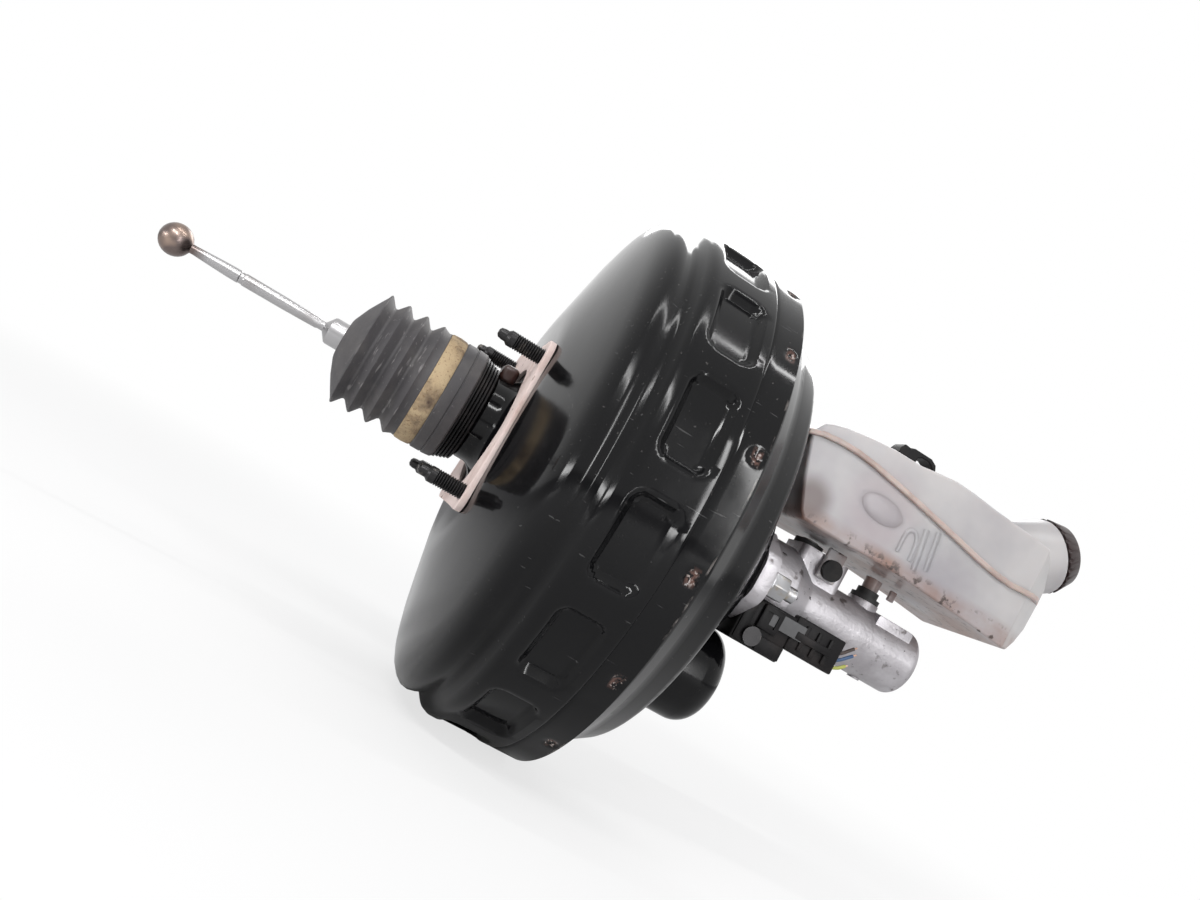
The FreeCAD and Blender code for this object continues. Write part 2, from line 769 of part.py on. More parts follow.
def make_poppet():
    rear = "(valve_seat_x - 26)"
    front = "(valve_seat_x - 5)"
    turned("poppet_valve", [
        (rear, "valve_bore_radius - 2.2"),
        (rear, "valve_bore_radius - 0.05"),
        (rear + " + 4", "valve_bore_radius - 0.05"),
        (rear + " + 4", "valve_bore_radius - 1.1"),
        (front, "valve_bore_radius - 1.1"),
        (front, "rod_tip_radius + 3"),
        (front + " - 1.5", "rod_tip_radius + 3"),
        (front + " - 1.5", "valve_bore_radius - 2.2"),
    ])
    coil("valve_spring", "valve_bore_radius - 2.4", "0.7", "valve_rear_x + 3 + spring_gap",
         rear + " - spring_gap", "5")


def make_plate_and_diaphragm():
    inner = "(hub_radius + 0.1)"
    turned("piston_plate", [
        ("plate_x", inner),
        ("plate_x", "plate_knee_radius"),
        ("plate_edge_x", PLATE_EDGE),
        ("plate_lip_x", PLATE_EDGE + " + 1.5"),
        ("plate_lip_x", PLATE_EDGE + " + 1.5 - plate_wall"),
        ("plate_edge_x + 0.8 * plate_wall", PLATE_EDGE + " - 0.8 * plate_wall"),
        ("plate_x + plate_wall", "plate_knee_radius - 0.2 * plate_wall"),
        ("plate_x + plate_wall", inner),
    ])
    root = "(valve_flange_radius + 0.2)"
    sleeve = "(%s - shell_wall - 0.6)" % GROOVE_RADIUS
    edge = PLATE_EDGE
    turned("diaphragm", [
        ("plate_x - 0.1 - diaphragm_wall", root),
        ("plate_x - 0.1 - diaphragm_wall", "plate_knee_radius + 0.4"),
        ("plate_edge_x - 1.2 - diaphragm_wall", edge + " + 0.8"),
        ("plate_edge_x - diaphragm_wall", edge + " + 4"),
        ("plate_edge_x + 2", sleeve, "diaphragm_wall"),
        ("lap_x - 5", sleeve),
        ("lap_x - 5", BAND_BORE + " - lap_gap"),
        ("lap_x", BAND_BORE + " - lap_gap"),
        ("lap_x", sleeve + " - diaphragm_wall"),
        ("plate_edge_x + 3.5", sleeve + " - diaphragm_wall"),
        ("plate_edge_x + 1", edge + " + 3.6"),
        ("plate_edge_x - 0.3", edge + " + 0.6"),
        ("plate_x - 0.1", "plate_knee_radius"),
        ("plate_x - 0.1", root),
    ])


def make_output_side():
    ring("reaction_disc", "disc_x", "disc_x + disc_thickness", "0",
         "disc_bore_radius - 0.3")
    head = "(disc_x + disc_thickness + 0.1)"
    turned("output_rod", [
        (head, "0"),
        (head, "disc_bore_radius - 0.1"),
        (head + " + 5", "disc_bore_radius - 0.1"),
        (head + " + 5", "output_rod_radius + 2", "2"),
        (head + " + 20", "output_rod_radius"),
        ("output_rod_tip_x - output_rod_radius", "output_rod_radius"),
        ("output_rod_tip_x", "output_rod_radius / 2"),
        ("output_rod_tip_x", "0"),
    ])
    coil("return_spring", "return_spring_radius", "return_spring_wire",
         "plate_x + plate_wall + spring_gap", SPRING_SEAT + " - spring_gap",
         "return_spring_turns")


# Master cylinder casting with its flange, tower and outlets

def make_master_cylinder():
    body = turned("master_cylinder", [
        ("spigot_rear_x", "0"),
        ("spigot_rear_x", "spigot_radius"),
        (FLANGE_FRONT, "spigot_radius"),
        (FLANGE_FRONT, "big_section_radius - 2"),
        (FLANGE_FRONT + " + 12", "big_section_radius", "20"),
        ("big_section_x", "big_section_radius", "4"),
        ("taper_x", "body_radius", "6"),
        ("cylinder_end_x", "body_radius", "5"),
        ("cylinder_end_x", "0"),
    ])
    flange = new_sketch(body, "Flange", "YZ_Plane", "front_pad_x")
    half = "flange_spacing / 2 + flange_lug_radius"
    waist = "big_section_radius - 1"
    draw_outline(flange, [
        ("-(%s)" % half, "-flange_lug_radius", "flange_lug_radius - 0.5"),
        ("-(%s)" % waist, "-(%s)" % waist, "8"),
        (waist, "-(%s)" % waist, "8"),
        (half, "-flange_lug_radius", "flange_lug_radius - 0.5"),
        (half, "flange_lug_radius", "flange_lug_radius - 0.5"),
        (waist, waist, "8"),
        ("-(%s)" % waist, waist, "8"),
        ("-(%s)" % half, "flange_lug_radius", "flange_lug_radius - 0.5"),
    ])
    extrude(body, "Pad", flange, "flange_thickness")
    tower = new_sketch(body, "Tower", "XY_Plane", "body_radius / 2")
    draw_outline(tower, [
        ("tower_rear_x", "-tower_half_width", "4"),
        ("tower_front_x", "-tower_half_width", "4"),
        ("tower_front_x", "tower_half_width", "4"),
        ("tower_rear_x", "tower_half_width", "4"),
    ])
    extrude(body, "Pad", tower, "tower_top_z - body_radius / 2")
    front_boss = draw_circles(new_sketch(body, "FrontInletBoss", "XY_Plane", "body_radius / 2"),
                              [("front_inlet_x", "0", "socket_radius + 2.5")])
    extrude(body, "Pad", front_boss, "body_radius / 2 + 2")
    outlets = draw_circles(new_sketch(body, "OutletBosses", "XZ_Plane"), [
        ("outlet_rear_x", "0", "outlet_boss_radius"),
        ("outlet_front_x", "0", "outlet_boss_radius")])
    extrude(body, "Pad", outlets, "outlet_reach", backwards=True)
    label_pad = new_sketch(body, "PlainPad", "XZ_Plane", "0")
    draw_outline(label_pad, [
        ("cylinder_end_x - 33", "9.5", "1.5"),
        ("cylinder_end_x - 10", "9.5", "1.5"),
        ("cylinder_end_x - 10", "17", "1.5"),
        ("cylinder_end_x - 33", "17", "1.5"),
    ])
    extrude(body, "Pad", label_pad, "body_radius - 4")
    nub = draw_circles(new_sketch(body, "Nub", "XY_Plane"),
                       [("cylinder_end_x - 22", "0", "3.5")])
    extrude(body, "Pad", nub, "body_radius + 0.8", backwards=True)
    bore = draw_circles(new_sketch(body, "Bore", "YZ_Plane", "spigot_rear_x"),
                        [("0", "0", "cylinder_bore_radius")])
    extrude(body, "Pocket", bore, "bore_end_x - spigot_rear_x", backwards=True)
    sockets = draw_circles(new_sketch(body, "RearSocket", "XY_Plane", "tower_top_z"),
                           [("rear_inlet_x", "0", "socket_radius")])
    extrude(body, "Pocket", sockets, "8")
    sockets = draw_circles(new_sketch(body, "FrontSocket", "XY_Plane", "body_radius + 2"),
                           [("front_inlet_x", "0", "socket_radius")])
    extrude(body, "Pocket", sockets, "4")
    feeds = draw_circles(new_sketch(body, "Feeds", "XY_Plane", "tower_top_z"), [
        ("rear_inlet_x", "0", "1.5"), ("front_inlet_x", "0", "1.5")])
    extrude(body, "Pocket", feeds, "tower_top_z - cylinder_bore_radius / 2")
    threads = draw_circles(new_sketch(body, "OutletThreads", "XZ_Plane", "-outlet_reach"), [
        ("outlet_rear_x", "0", "outlet_hole_radius"),
        ("outlet_front_x", "0", "outlet_hole_radius")])
    extrude(body, "Pocket", threads, "outlet_depth", backwards=True)
    passages = draw_circles(new_sketch(body, "OutletPassages", "XZ_Plane", "-outlet_reach"), [
        ("outlet_rear_x", "0", "1.5"), ("outlet_front_x", "0", "1.5")])
    extrude(body, "Pocket", passages, "outlet_reach - cylinder_bore_radius / 2", backwards=True)
    pin_hole = draw_circles(new_sketch(body, "PinHole", "XZ_Plane"),
                            [("pin_x", "pin_z", "pin_radius + 0.05")])
    extrude(body, "Pocket", pin_hole, "4 * tower_half_width", both_ways=True)
    bolt_holes = draw_circles(new_sketch(body, "FlangeHoles", "YZ_Plane", "front_pad_x"), [
        ("-flange_spacing / 2", "0", "stud_radius + flange_hole_gap"),
        ("flange_spacing / 2", "0", "stud_radius + flange_hole_gap")])
    extrude(body, "Pocket", bolt_holes, "2 * flange_thickness", backwards=True)
    return body


def make_cylinder_internals():
    fit = "(cylinder_bore_radius - running_gap)"
    turned("primary_piston", [
        ("primary_rear_x", "output_rod_radius + 2"),
        ("primary_rear_x", fit),
        ("primary_front_x - 2 * cup_width", fit),
        ("primary_front_x - 2 * cup_width", fit + " - 3.5"),
        ("primary_front_x - cup_width", fit + " - 3.5"),
        ("primary_front_x - cup_width", fit),
        ("primary_front_x - cup_width / 2", fit),
        ("primary_front_x - cup_width / 2", "4"),
        ("primary_front_x", "4"),
        ("primary_front_x", "0"),
        ("output_rod_tip_x + 0.1", "0"),
        ("output_rod_tip_x + 0.1", "output_rod_radius + 2"),
    ])
    turned("secondary_piston", [
        ("secondary_rear_x", "0"),
        ("secondary_rear_x", fit),
        ("secondary_rear_x + cup_width / 2", fit),
        ("secondary_rear_x + cup_width / 2", fit + " - 3.5"),
        ("secondary_rear_x + 1.5 * cup_width", fit + " - 3.5"),
        ("secondary_rear_x + 1.5 * cup_width", fit),
        ("secondary_front_x - cup_width / 2", fit),
        ("secondary_front_x - cup_width / 2", "4"),
        ("secondary_front_x", "4"),
        ("secondary_front_x", "0"),
    ])
    for label, rear in (("primary_cup", "primary_front_x - 2 * cup_width"),
                        ("secondary_cup", "secondary_rear_x + cup_width / 2")):
        ring(label, rear + " + 0.1", rear + " + cup_width - 0.1",
             "cylinder_bore_radius - running_gap - 3.4", "cylinder_bore_radius - 0.02")
    coil("primary_spring", "piston_spring_radius", "piston_spring_wire",
         "primary_front_x - cup_width / 2 + spring_gap", "secondary_rear_x - spring_gap", "5")
    coil("secondary_spring", "piston_spring_radius", "piston_spring_wire",
         "secondary_front_x - cup_width / 2 + spring_gap", "bore_end_x - spring_gap", "5")
    ring("spigot_seal", "front_pad_x - shell_wall - 3.2", "front_pad_x - shell_wall - 0.2",
         "spigot_radius", "spigot_radius + 2.6")


# Fluid reservoir: two moulded halves welded along a sloping seam, each one the common part of
# a side view and a plan view, with the same views drawn smaller for the inside

def seam_path(rear, front, shift):
    """The arched weld line from the front end back to the rear end."""
    front_rise = "(seam_front_z - seam_foot_z) / (tank_front_x - seam_foot_x)"
    rear_fall = "(seam_crest_z - seam_rear_z) / (seam_crest_x - tank_rear_x)"
    return [
        (front, "seam_foot_z + (%s - seam_foot_x) * %s%s" % (front, front_rise, shift)),
        ("seam_foot_x", "seam_foot_z" + shift, "seam_round"),
        ("seam_crest_x", "seam_crest_z" + shift, "seam_round"),
        (rear, "seam_crest_z - (seam_crest_x - %s) * %s%s" % (rear, rear_fall, shift)),
    ]


def prism(name, role, corners, length):
    body = doc.addObject("PartDesign::Body", name)
    sketch = draw_outline(new_sketch(body, name + "Outline", role), corners)
    extrude(body, "Pad", sketch, length, both_ways=True)
    return body


def tank_plan(inset):
    half = "(tank_half_width - (%s))" % inset
    front = "(tank_front_x + 4 - (%s))" % inset
    corner = "(20 - (%s))" % inset
    return [
        ("tank_rear_x - 20", "-" + half),
        (front + " - 23", "-" + half, corner),
        (front, "-0.4 * " + half, corner),
        (front, "0.4 * " + half, corner),
        (front + " - 23", half, corner),
        ("tank_rear_x - 20", half),
    ]


def crossed(name, side, inset):
    views = [prism(name + "Side", "XZ_Plane", side, "4 * tank_half_width"),
             prism(name + "Plan", "XY_Plane", tank_plan(inset), "tank_front_x")]
    common = doc.addObject("Part::MultiCommon", name)
    common.Shapes = views
    doc.recompute()
    return common


def seam_strip(name, low, high):
    rear = "(tank_rear_x - seam_flange)"
    front = "(tank_front_x + 20)"
    below = seam_path(rear, front, low)
    above = seam_path(rear, front, high)
    return crossed(name, below + above[::-1], "-seam_flange")


def lower_side(wall, over):
    rear = "(tank_rear_x + 1.1 * %s)" % wall
    front = "(tank_front_x + 3.5 - %s)" % wall
    return [
        ("tank_floor_rear_x + 1.1 * " + wall, "tank_floor_z + " + wall, "8 - " + wall),
        ("tank_front_x - 10 - 0.5 * " + wall, "tank_floor_z - 2 + " + wall, "12 - " + wall),
        (front, "tank_floor_z + 14 + 0.5 * " + wall, "8 - " + wall),
    ] + seam_path(rear, front, over)


def upper_side(wall, under):
    rear = "(tank_rear_x + 1.1 * %s)" % wall
    front = "(tank_front_x + 3.5 - %s)" % wall
    return [
        ("tank_rear_x + 3 + " + wall, "seam_rear_z + 7 - 0.5 * " + wall, "6 - " + wall),
        ("roof_rear_x + 0.4 * " + wall, "roof_rear_z - " + wall, "14 - " + wall),
        ("roof_mid_x", "roof_mid_z - " + wall, "30 - " + wall),
        ("roof_front_x", "roof_front_z - " + wall, "30 - " + wall),
        ("roof_end_x - 0.5 * " + wall, "roof_end_z - " + wall, "8 - " + wall),
        (front, "seam_front_z + 9 - 0.5 * " + wall, "6 - " + wall),
    ] + seam_path(rear, front, under)


def tilted(name, radius, start, length):
    """A cylinder on the filler neck's axis, from a distance above the cap's base."""
    solid = doc.addObject("Part::Cylinder", name)
    bind(solid, "Radius", radius)
    bind(solid, "Height", length)
    tilt(solid, start)
    return solid


def tilt(item, start):
    item.Placement = Placement(Vector(), Rotation(Vector(0, 1, 0), 90 - value("cap_tilt")))
    bind(item, "Placement.Rotation.Angle", "90 - cap_tilt")
    bind(item, "Placement.Base.x", "cap_base_x + (%s) * cos(cap_tilt)" % start)
    bind(item, "Placement.Base.z", "cap_base_z + (%s) * sin(cap_tilt)" % start)


def make_lower_tank():
    solids = [crossed("LowerOutside", lower_side("0", ""), "0"),
              seam_strip("LowerFlange", "- seam_height / 2", "")]
    hollows = [crossed("LowerInside", lower_side("tank_wall", " + 3"), "tank_wall")]
    for name, place, foot in (("Rear", "rear_inlet_x", "tower_top_z - 7"),
                              ("Front", "front_inlet_x", "body_radius - 1")):
        length = "tank_floor_z + 1 - (%s)" % foot
        solids.append(cylinder("Leg" + name, "leg_radius", length, (place, "0", foot), (0, 0, 1)))
        hollows.append(cylinder("LegBore" + name, "leg_radius - 1.5", "2 * (%s)" % length,
                                (place, "0", foot + " - 1"), (0, 0, 1)))
    for name, near in (("Near", "-tower_half_width - 0.3 - ear_thickness"),
                       ("Far", "tower_half_width + 0.3")):
        solids.append(box("Ear" + name, "pin_x - ear_width / 2", near, "pin_z - 6.5",
                          "ear_width", "ear_thickness", "tank_floor_z - pin_z + 8"))
    hollows.append(cylinder("EarHoles", "pin_radius + 0.05", "6 * ear_thickness + 4 * tower_half_width",
                            ("pin_x", "-2 * tower_half_width - 3 * ear_thickness", "pin_z"),
                            (0, 1, 0)))
    shell = cut("reservoir_lower", fused("LowerSolids", solids), fused("LowerHollows", hollows))
    return keep(shell, "reservoir_lower")


def make_upper_tank():
    outside = crossed("UpperOutside", upper_side("0", ""), "0")
    collar_start = "-collar_depth"
    solids = [outside,
              seam_strip("UpperFlange", "", " + seam_height / 2"),
              tilted("NeckCollar", "cap_radius", collar_start, "collar_depth - 0.2"),
              tilted("FillerNeck", "neck_outer_radius", "-4", "4 + neck_lip")]
    hollows = [crossed("UpperInside", upper_side("tank_wall", " - 3"), "tank_wall"),
               tilted("CollarBore", "cap_radius - tank_wall", collar_start + " - 4",
                      "collar_depth"),
               tilted("FillerBore", "neck_inner_radius", "-8", "20")]
    shell = cut("reservoir_upper", fused("UpperSolids", solids), fused("UpperHollows", hollows))
    keep(shell, "reservoir_upper")
    post_width = "2 * clip_half_width"
    post = box("ClipPost", "clip_rear_x", "-clip_thickness / 2", "seam_rear_z",
               "clip_front_x - clip_rear_x", "clip_thickness", "clip_top_z - seam_rear_z")
    foot = box("ClipFoot", "clip_rear_x", "-clip_half_width", "seam_rear_z",
               "clip_front_x - clip_rear_x", post_width,
               "roof_front_z + clip_thickness - seam_rear_z")
    arm = box("ClipArm", "clip_rear_x", "-clip_half_width", "clip_top_z - clip_thickness",
              "clip_tip_x - clip_rear_x", post_width, "clip_thickness")
    tip = box("ClipTip", "clip_tip_x - clip_thickness", "-clip_half_width",
              "clip_top_z - 2.5 * clip_thickness", "clip_thickness", post_width,
              "2.5 * clip_thickness")
    clip = cut("hose_clip", fused("ClipParts", [post, foot, arm, tip]), outside)
    return keep(clip, "hose_clip")


def tilted_ring(label, start, length, inner, outer):
    body = new_body(label)
    sketch = draw_circles(new_sketch(body, label + "Ring", "XY_Plane"),
                          [("0", "0", outer), ("0", "0", inner)])
    extrude(body, "Pad", sketch, length)
    tilt(body, start)
    return body


def make_cap_pieces():
    cap = new_body("reservoir_cap")
    disc = draw_circles(new_sketch(cap, "CapDisc", "XY_Plane"), [("0", "0", "cap_radius")])
    crown = extrude(cap, "Pad", disc, "cap_height")
    bind(crown, "TaperAngle", "-cap_slope")
    hollow = draw_circles(new_sketch(cap, "CapHollow", "XY_Plane"),
                          [("0", "0", "neck_outer_radius + 0.3")])
    extrude(cap, "Pocket", hollow, "cap_height - cap_wall", backwards=True)
    grip = draw_circles(new_sketch(cap, "Grip", "XY_Plane"), [("cap_radius + 0.5", "0", "1.6")])
    notch = extrude(cap, "Pocket", grip, "cap_height - cap_wall / 2", backwards=True)
    ribs = cap.newObject("PartDesign::PolarPattern", "GripPattern")
    ribs.Originals = [notch]
    axis = [item for item in cap.Origin.OriginFeatures if item.Role == "Z_Axis"][0]
    ribs.Axis = (axis, [""])
    ribs.Angle = 360
    bind(ribs, "Occurrences", "cap_rib_count")
    cap.Tip = ribs
    tilt(cap, "0")
    strainer = new_body("strainer")
    for name, radius, level, length, kind in (
            ("Basket", "strainer_radius", "-strainer_depth", "strainer_depth", "Pad"),
            ("Brim", "neck_outer_radius - 0.5", "0", "1", "Pad"),
            ("Inside", "strainer_radius - 1", "1", "strainer_depth", "Pocket")):
        sketch = draw_circles(new_sketch(strainer, name, "XY_Plane", level), [("0", "0", radius)])
        extrude(strainer, kind, sketch, length)
    tilt(strainer, "neck_lip")
    tilted_ring("cap_seal", "neck_lip + 1.05", "cap_height - cap_wall - neck_lip - 1.15",
                "strainer_radius - 1",
                "neck_outer_radius - 0.5")
    doc.recompute()


def make_tank_fixings():
    sleeves = []
    for name, place, foot in (("Rear", "rear_inlet_x", "tower_top_z - 7.5"),
                              ("Front", "front_inlet_x", "body_radius - 1.5")):
        collar = "(%s) + %s" % (foot, "7.5" if name == "Rear" else "3.5")
        outside = cylinder("Sleeve" + name, "socket_radius - 0.02", "10", (place, "0", foot),
                           (0, 0, 1))
        brim = cylinder("Brim" + name, "socket_radius + 2", "2.8", (place, "0", collar),
                        (0, 0, 1))
        hole = cylinder("SleeveBore" + name, "leg_radius + 0.02", "30",
                        (place, "0", foot + " - 5"), (0, 0, 1))
        sleeves.append(cut("Grommet" + name, fused("SleeveBlank" + name, [outside, brim]), hole))
    group = doc.addObject("Part::Compound", "reservoir_grommets")
    group.Links = sleeves
    keep(group, "reservoir_grommets")
    near_face = "(tower_half_width + 0.3 + ear_thickness)"
    shank = cylinder("PinShank", "pin_radius", "2 * %s + 3" % near_face,
                     ("pin_x", "-%s - 1" % near_face, "pin_z"), (0, 1, 0))
    head = cylinder("PinHead", "pin_head_radius", "3",
                    ("pin_x", "-%s - 3.05" % near_face, "pin_z"), (0, 1, 0))
    keep(fused("reservoir_pin", [shank, head]), "reservoir_pin")
    doc.recompute()


# Pressure sensor strapped under the cylinder, with its plug and the cut wires

def make_sensor():
    clearance = ("sensor_rear_x - 20", "0", "0")

    def relieved(label, blank):
        relief = cylinder(label + "Relief", "big_section_radius + 0.3", "200", clearance,
                          (1, 0, 0))
        return keep(cut(label, blank, relief), label)

    relieved("sensor_body", box("SensorBlock", "sensor_rear_x", "sensor_near_y", "sensor_low_z",
                                "sensor_front_x - sensor_rear_x", "sensor_far_y - sensor_near_y",
                                "sensor_high_z - sensor_low_z"))
    relieved("connector_plug", box("PlugBlock", "sensor_front_x", "sensor_near_y", "plug_low_z",
                                   "plug_front_x - sensor_front_x",
                                   "plug_far_y - sensor_near_y", "plug_high_z - plug_low_z"))
    keep(cylinder("sensor_screw", "5", "3.5", ("sensor_rear_x + 10", "sensor_near_y",
                                               "sensor_low_z + 6"), (0, -1, 0)), "sensor_screw")
    keep(box("sensor_clip", "sensor_front_x - 14", "sensor_near_y - 1.6", "sensor_high_z - 10",
             "20", "1.6", "8"), "sensor_clip")
    wires = []
    for number, (low, lift) in enumerate((("-21", 5), ("-17", 9), ("-13", 11))):
        place = ("plug_front_x + 0.7", "sensor_near_y + 4", low)
        direction = (16, 3, lift)
        sheath = cylinder("Sheath%d" % number, "1.15", "15", place, direction)
        core = cylinder("Core%d" % number, "0.55", "19", place, direction)
        wires.append(fused("Wire%d" % number, [sheath, core]))
    group = doc.addObject("Part::Compound", "wire_stubs")
    group.Links = wires
    keep(group, "wire_stubs")
    doc.recompute()


# Vacuum check valve in its grommet, on the far side of the front shell

def beside(body):
    bind(body, "Placement.Base.y", "valve_y")
    bind(body, "Placement.Base.z", "valve_z")


def make_check_valve():
    pad = "valve_pad_x"
    bore = "(valve_body_radius - 3)"
    beside(turned("vacuum_grommet", [
        (pad + " - shell_wall - 3", bore),
        (pad + " + 3", bore),
        (pad + " + 3", "valve_body_radius + 3", "1"),
        (pad + " + 0.05", "valve_body_radius + 3"),
        (pad + " + 0.05", "valve_body_radius - 0.05"),
        (pad + " - shell_wall - 0.05", "valve_body_radius - 0.05"),
        (pad + " - shell_wall - 0.05", "valve_body_radius + 2"),
        (pad + " - shell_wall - 3", "valve_body_radius + 2"),
    ]))
    chamber = "(valve_body_radius - 5)"
    valve = turned("check_valve", [
        (pad + " - 8", "3"),
        (pad + " - 8", bore + " - 0.02"),
        (pad + " + 3.1", bore + " - 0.02"),
        (pad + " + 3.1", "valve_body_radius"),
        (pad + " + 22", "valve_body_radius", "2"),
        (pad + " + 22", "0"),
        (pad + " + 12", "0"),
        (pad + " + 12", chamber),
        (pad + " - 6", chamber),
        (pad + " - 6", "3"),
    ])
    barb = draw_circles(new_sketch(valve, "Barb", "XZ_Plane"), [(pad + " + 14", "0", "hose_radius")])
    extrude(valve, "Pad", barb, "42", backwards=True)
    rings = draw_circles(new_sketch(valve, "BarbRidges", "XZ_Plane", "-38"),
                         [(pad + " + 14", "0", "hose_radius + 1")])
    extrude(valve, "Pad", rings, "3", backwards=True)
    hole = draw_circles(new_sketch(valve, "BarbBore", "XZ_Plane", "-50"),
                        [(pad + " + 14", "0", "hose_radius - 2")])
    extrude(valve, "Pocket", hole, "50", backwards=True)
    clear = draw_circles(new_sketch(valve, "Chamber", "YZ_Plane", pad + " - 6"),
                         [("0", "0", chamber)])
    extrude(valve, "Pocket", clear, "18", backwards=True)
    beside(valve)
    beside(ring("check_valve_disc", pad + " - 5.9", pad + " - 4.3", "0", chamber + " - 0.05"))
    coil("check_valve_spring", chamber + " - 1.8", "0.4", pad + " - 4.2", pad + " + 11.9", "5")
    bind(nodes[-1], "Placement.Base.y", "valve_y")
    bind(nodes[-1], "Placement.Base.z", "valve_z")
    doc.recompute()


make_rear_shell()
make_front_shell()
make_gasket()
make_mounting_studs()
make_front_fasteners()
make_neck_pieces()
make_boot()
make_neck_bore_pieces()
make_push_rod()
make_plunger()
make_valve_body()
make_poppet()
make_plate_and_diaphragm()
make_output_side()
make_master_cylinder()
make_cylinder_internals()
make_lower_tank()
make_upper_tank()
make_cap_pieces()
make_tank_fixings()
make_sensor()
make_check_valve()


# Checks, then one file for each piece

doc.recompute()
faults = [item.Label for item in doc.Objects
          if "Invalid" in item.State or "Error" in item.State]
for item in nodes:
    shape = item.Shape
    if shape.isNull() or not shape.isValid() or shape.Volume < 1:
        faults.append(item.Label)
if faults:
    raise RuntimeError("faulty objects: " + ", ".join(faults))

os.makedirs("parts", exist_ok=True)
for item in nodes:
    item.Shape.exportStep(os.path.join("parts", item.Label + ".step"))
    box_of = item.Shape.BoundBox
    print("%-18s %3d solids %9.0f mm3  x %7.1f %7.1f  y %7.1f %7.1f  z %7.1f %7.1f" % (
        item.Label, len(item.Shape.Solids), item.Shape.Volume, box_of.XMin, box_of.XMax,
        box_of.YMin, box_of.YMax, box_of.ZMin, box_of.ZMax))
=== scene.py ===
# %% [markdown]
# # A brake booster, dressed for its portrait
# The solid model of the booster is loaded as a fixed frame: every piece already has its
# place, in metres, with +X towards the master cylinder and +Z up. This lesson gives the
# pieces their paint, rubber, foam and castings, and models again the ones whose soft
# pressed or moulded edges a plain solid can't show.

# %% Load the frame
import json
import math
import bpy
from mathutils import Matrix, Vector

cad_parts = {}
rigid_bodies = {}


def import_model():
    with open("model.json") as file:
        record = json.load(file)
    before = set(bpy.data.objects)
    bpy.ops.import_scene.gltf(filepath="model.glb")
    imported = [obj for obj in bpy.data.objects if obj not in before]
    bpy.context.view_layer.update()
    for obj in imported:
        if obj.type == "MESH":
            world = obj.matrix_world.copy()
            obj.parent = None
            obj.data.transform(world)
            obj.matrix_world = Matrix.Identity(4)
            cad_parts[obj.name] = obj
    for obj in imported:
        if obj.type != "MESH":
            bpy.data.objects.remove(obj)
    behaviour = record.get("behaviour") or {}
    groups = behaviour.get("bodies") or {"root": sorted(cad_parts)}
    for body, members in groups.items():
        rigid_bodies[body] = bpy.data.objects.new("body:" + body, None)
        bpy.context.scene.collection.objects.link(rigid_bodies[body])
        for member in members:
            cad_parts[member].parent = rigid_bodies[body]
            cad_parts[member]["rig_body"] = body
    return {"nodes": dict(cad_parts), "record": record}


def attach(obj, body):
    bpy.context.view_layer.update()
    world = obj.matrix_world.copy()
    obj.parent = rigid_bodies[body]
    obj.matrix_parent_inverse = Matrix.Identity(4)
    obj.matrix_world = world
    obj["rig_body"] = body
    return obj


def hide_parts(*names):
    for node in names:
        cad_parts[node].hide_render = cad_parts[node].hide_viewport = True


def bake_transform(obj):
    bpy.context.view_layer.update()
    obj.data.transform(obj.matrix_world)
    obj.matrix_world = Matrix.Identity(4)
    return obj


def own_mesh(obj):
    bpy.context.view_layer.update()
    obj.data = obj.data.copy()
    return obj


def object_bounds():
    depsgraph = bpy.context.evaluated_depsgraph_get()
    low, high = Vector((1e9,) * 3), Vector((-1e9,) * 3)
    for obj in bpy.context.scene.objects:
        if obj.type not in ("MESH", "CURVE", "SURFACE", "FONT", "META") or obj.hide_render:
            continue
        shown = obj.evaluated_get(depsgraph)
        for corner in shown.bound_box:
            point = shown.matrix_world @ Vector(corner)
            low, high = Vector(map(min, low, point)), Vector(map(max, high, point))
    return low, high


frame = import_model()
cad_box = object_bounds()
nodes = frame["nodes"]
MM = 0.001
print("pieces in the frame:", len(nodes))

# %% [markdown]
# ## Sizes that several steps share
# Round the band run pockets and crimps. The press shapes them in the sheet and wear shows
# there in the paint, so both steps read the same numbers. All sizes are in millimetres and
# `MM` turns them into the frame's metres.

# %% Shared sizes
BAND = 138
POCKETS = 16
PITCH = 360 / POCKETS
PHASE = 14.0
CRIMP_X, CRIMP_REACH, CRIMP_DEPTH = 80.4, 4.4, 1.3
CRIMP_WEAR = 2.2
RIM_X, RIM_WEAR = 84.9, 0.7
print("pockets and crimps round the band:", POCKETS)

# %% [markdown]
# ## Camera
# The photograph was taken from the near side, a little behind the shell and slightly
# below its axis, with the camera rolled. Its three directions are written down as
# vectors, so the view is exact and nothing has to be turned by hand.

# %% Camera
to_right = Vector((0.840, -0.227, 0.493)).normalized()
ahead = Vector((0.206, 0.974, 0.097)).normalized()
CAMERA_PLACE = (-0.0542, -0.5039, -0.0329)
ahead = (ahead - to_right * ahead.dot(to_right)).normalized()
upward = to_right.cross(ahead)
bpy.ops.object.camera_add()
camera = bpy.context.object
camera.name = "camera"
turned = Matrix((to_right, upward, -ahead)).transposed().to_4x4()
camera.matrix_world = Matrix.Translation(CAMERA_PLACE) @ turned
camera.data.lens = 30
camera.data.sensor_width = 36
camera.data.clip_start = 0.02
bpy.context.scene.camera = camera
print("camera looks along", tuple(round(v, 3) for v in ahead))

# %% [markdown]
# ## Light and floor
# Gloss paint shows the lamps more than it shows its own colour. Four long narrow lamps
# draw bright streaks along the pressed beads and the pockets, and a wide one lifts the far
# side. The backdrop is white for the camera, for glass and for reflections, and a mid grey
# for everything else, so that it doesn't wash the black paint out.

# %% Light and floor
AMBIENT = 0.62
FLOOR_SIZE, FLOOR_GAP = 8, 0.0005
FADE_FROM, FADE_TO, FADE_LEAST = 0.35, 1.1, 0.72


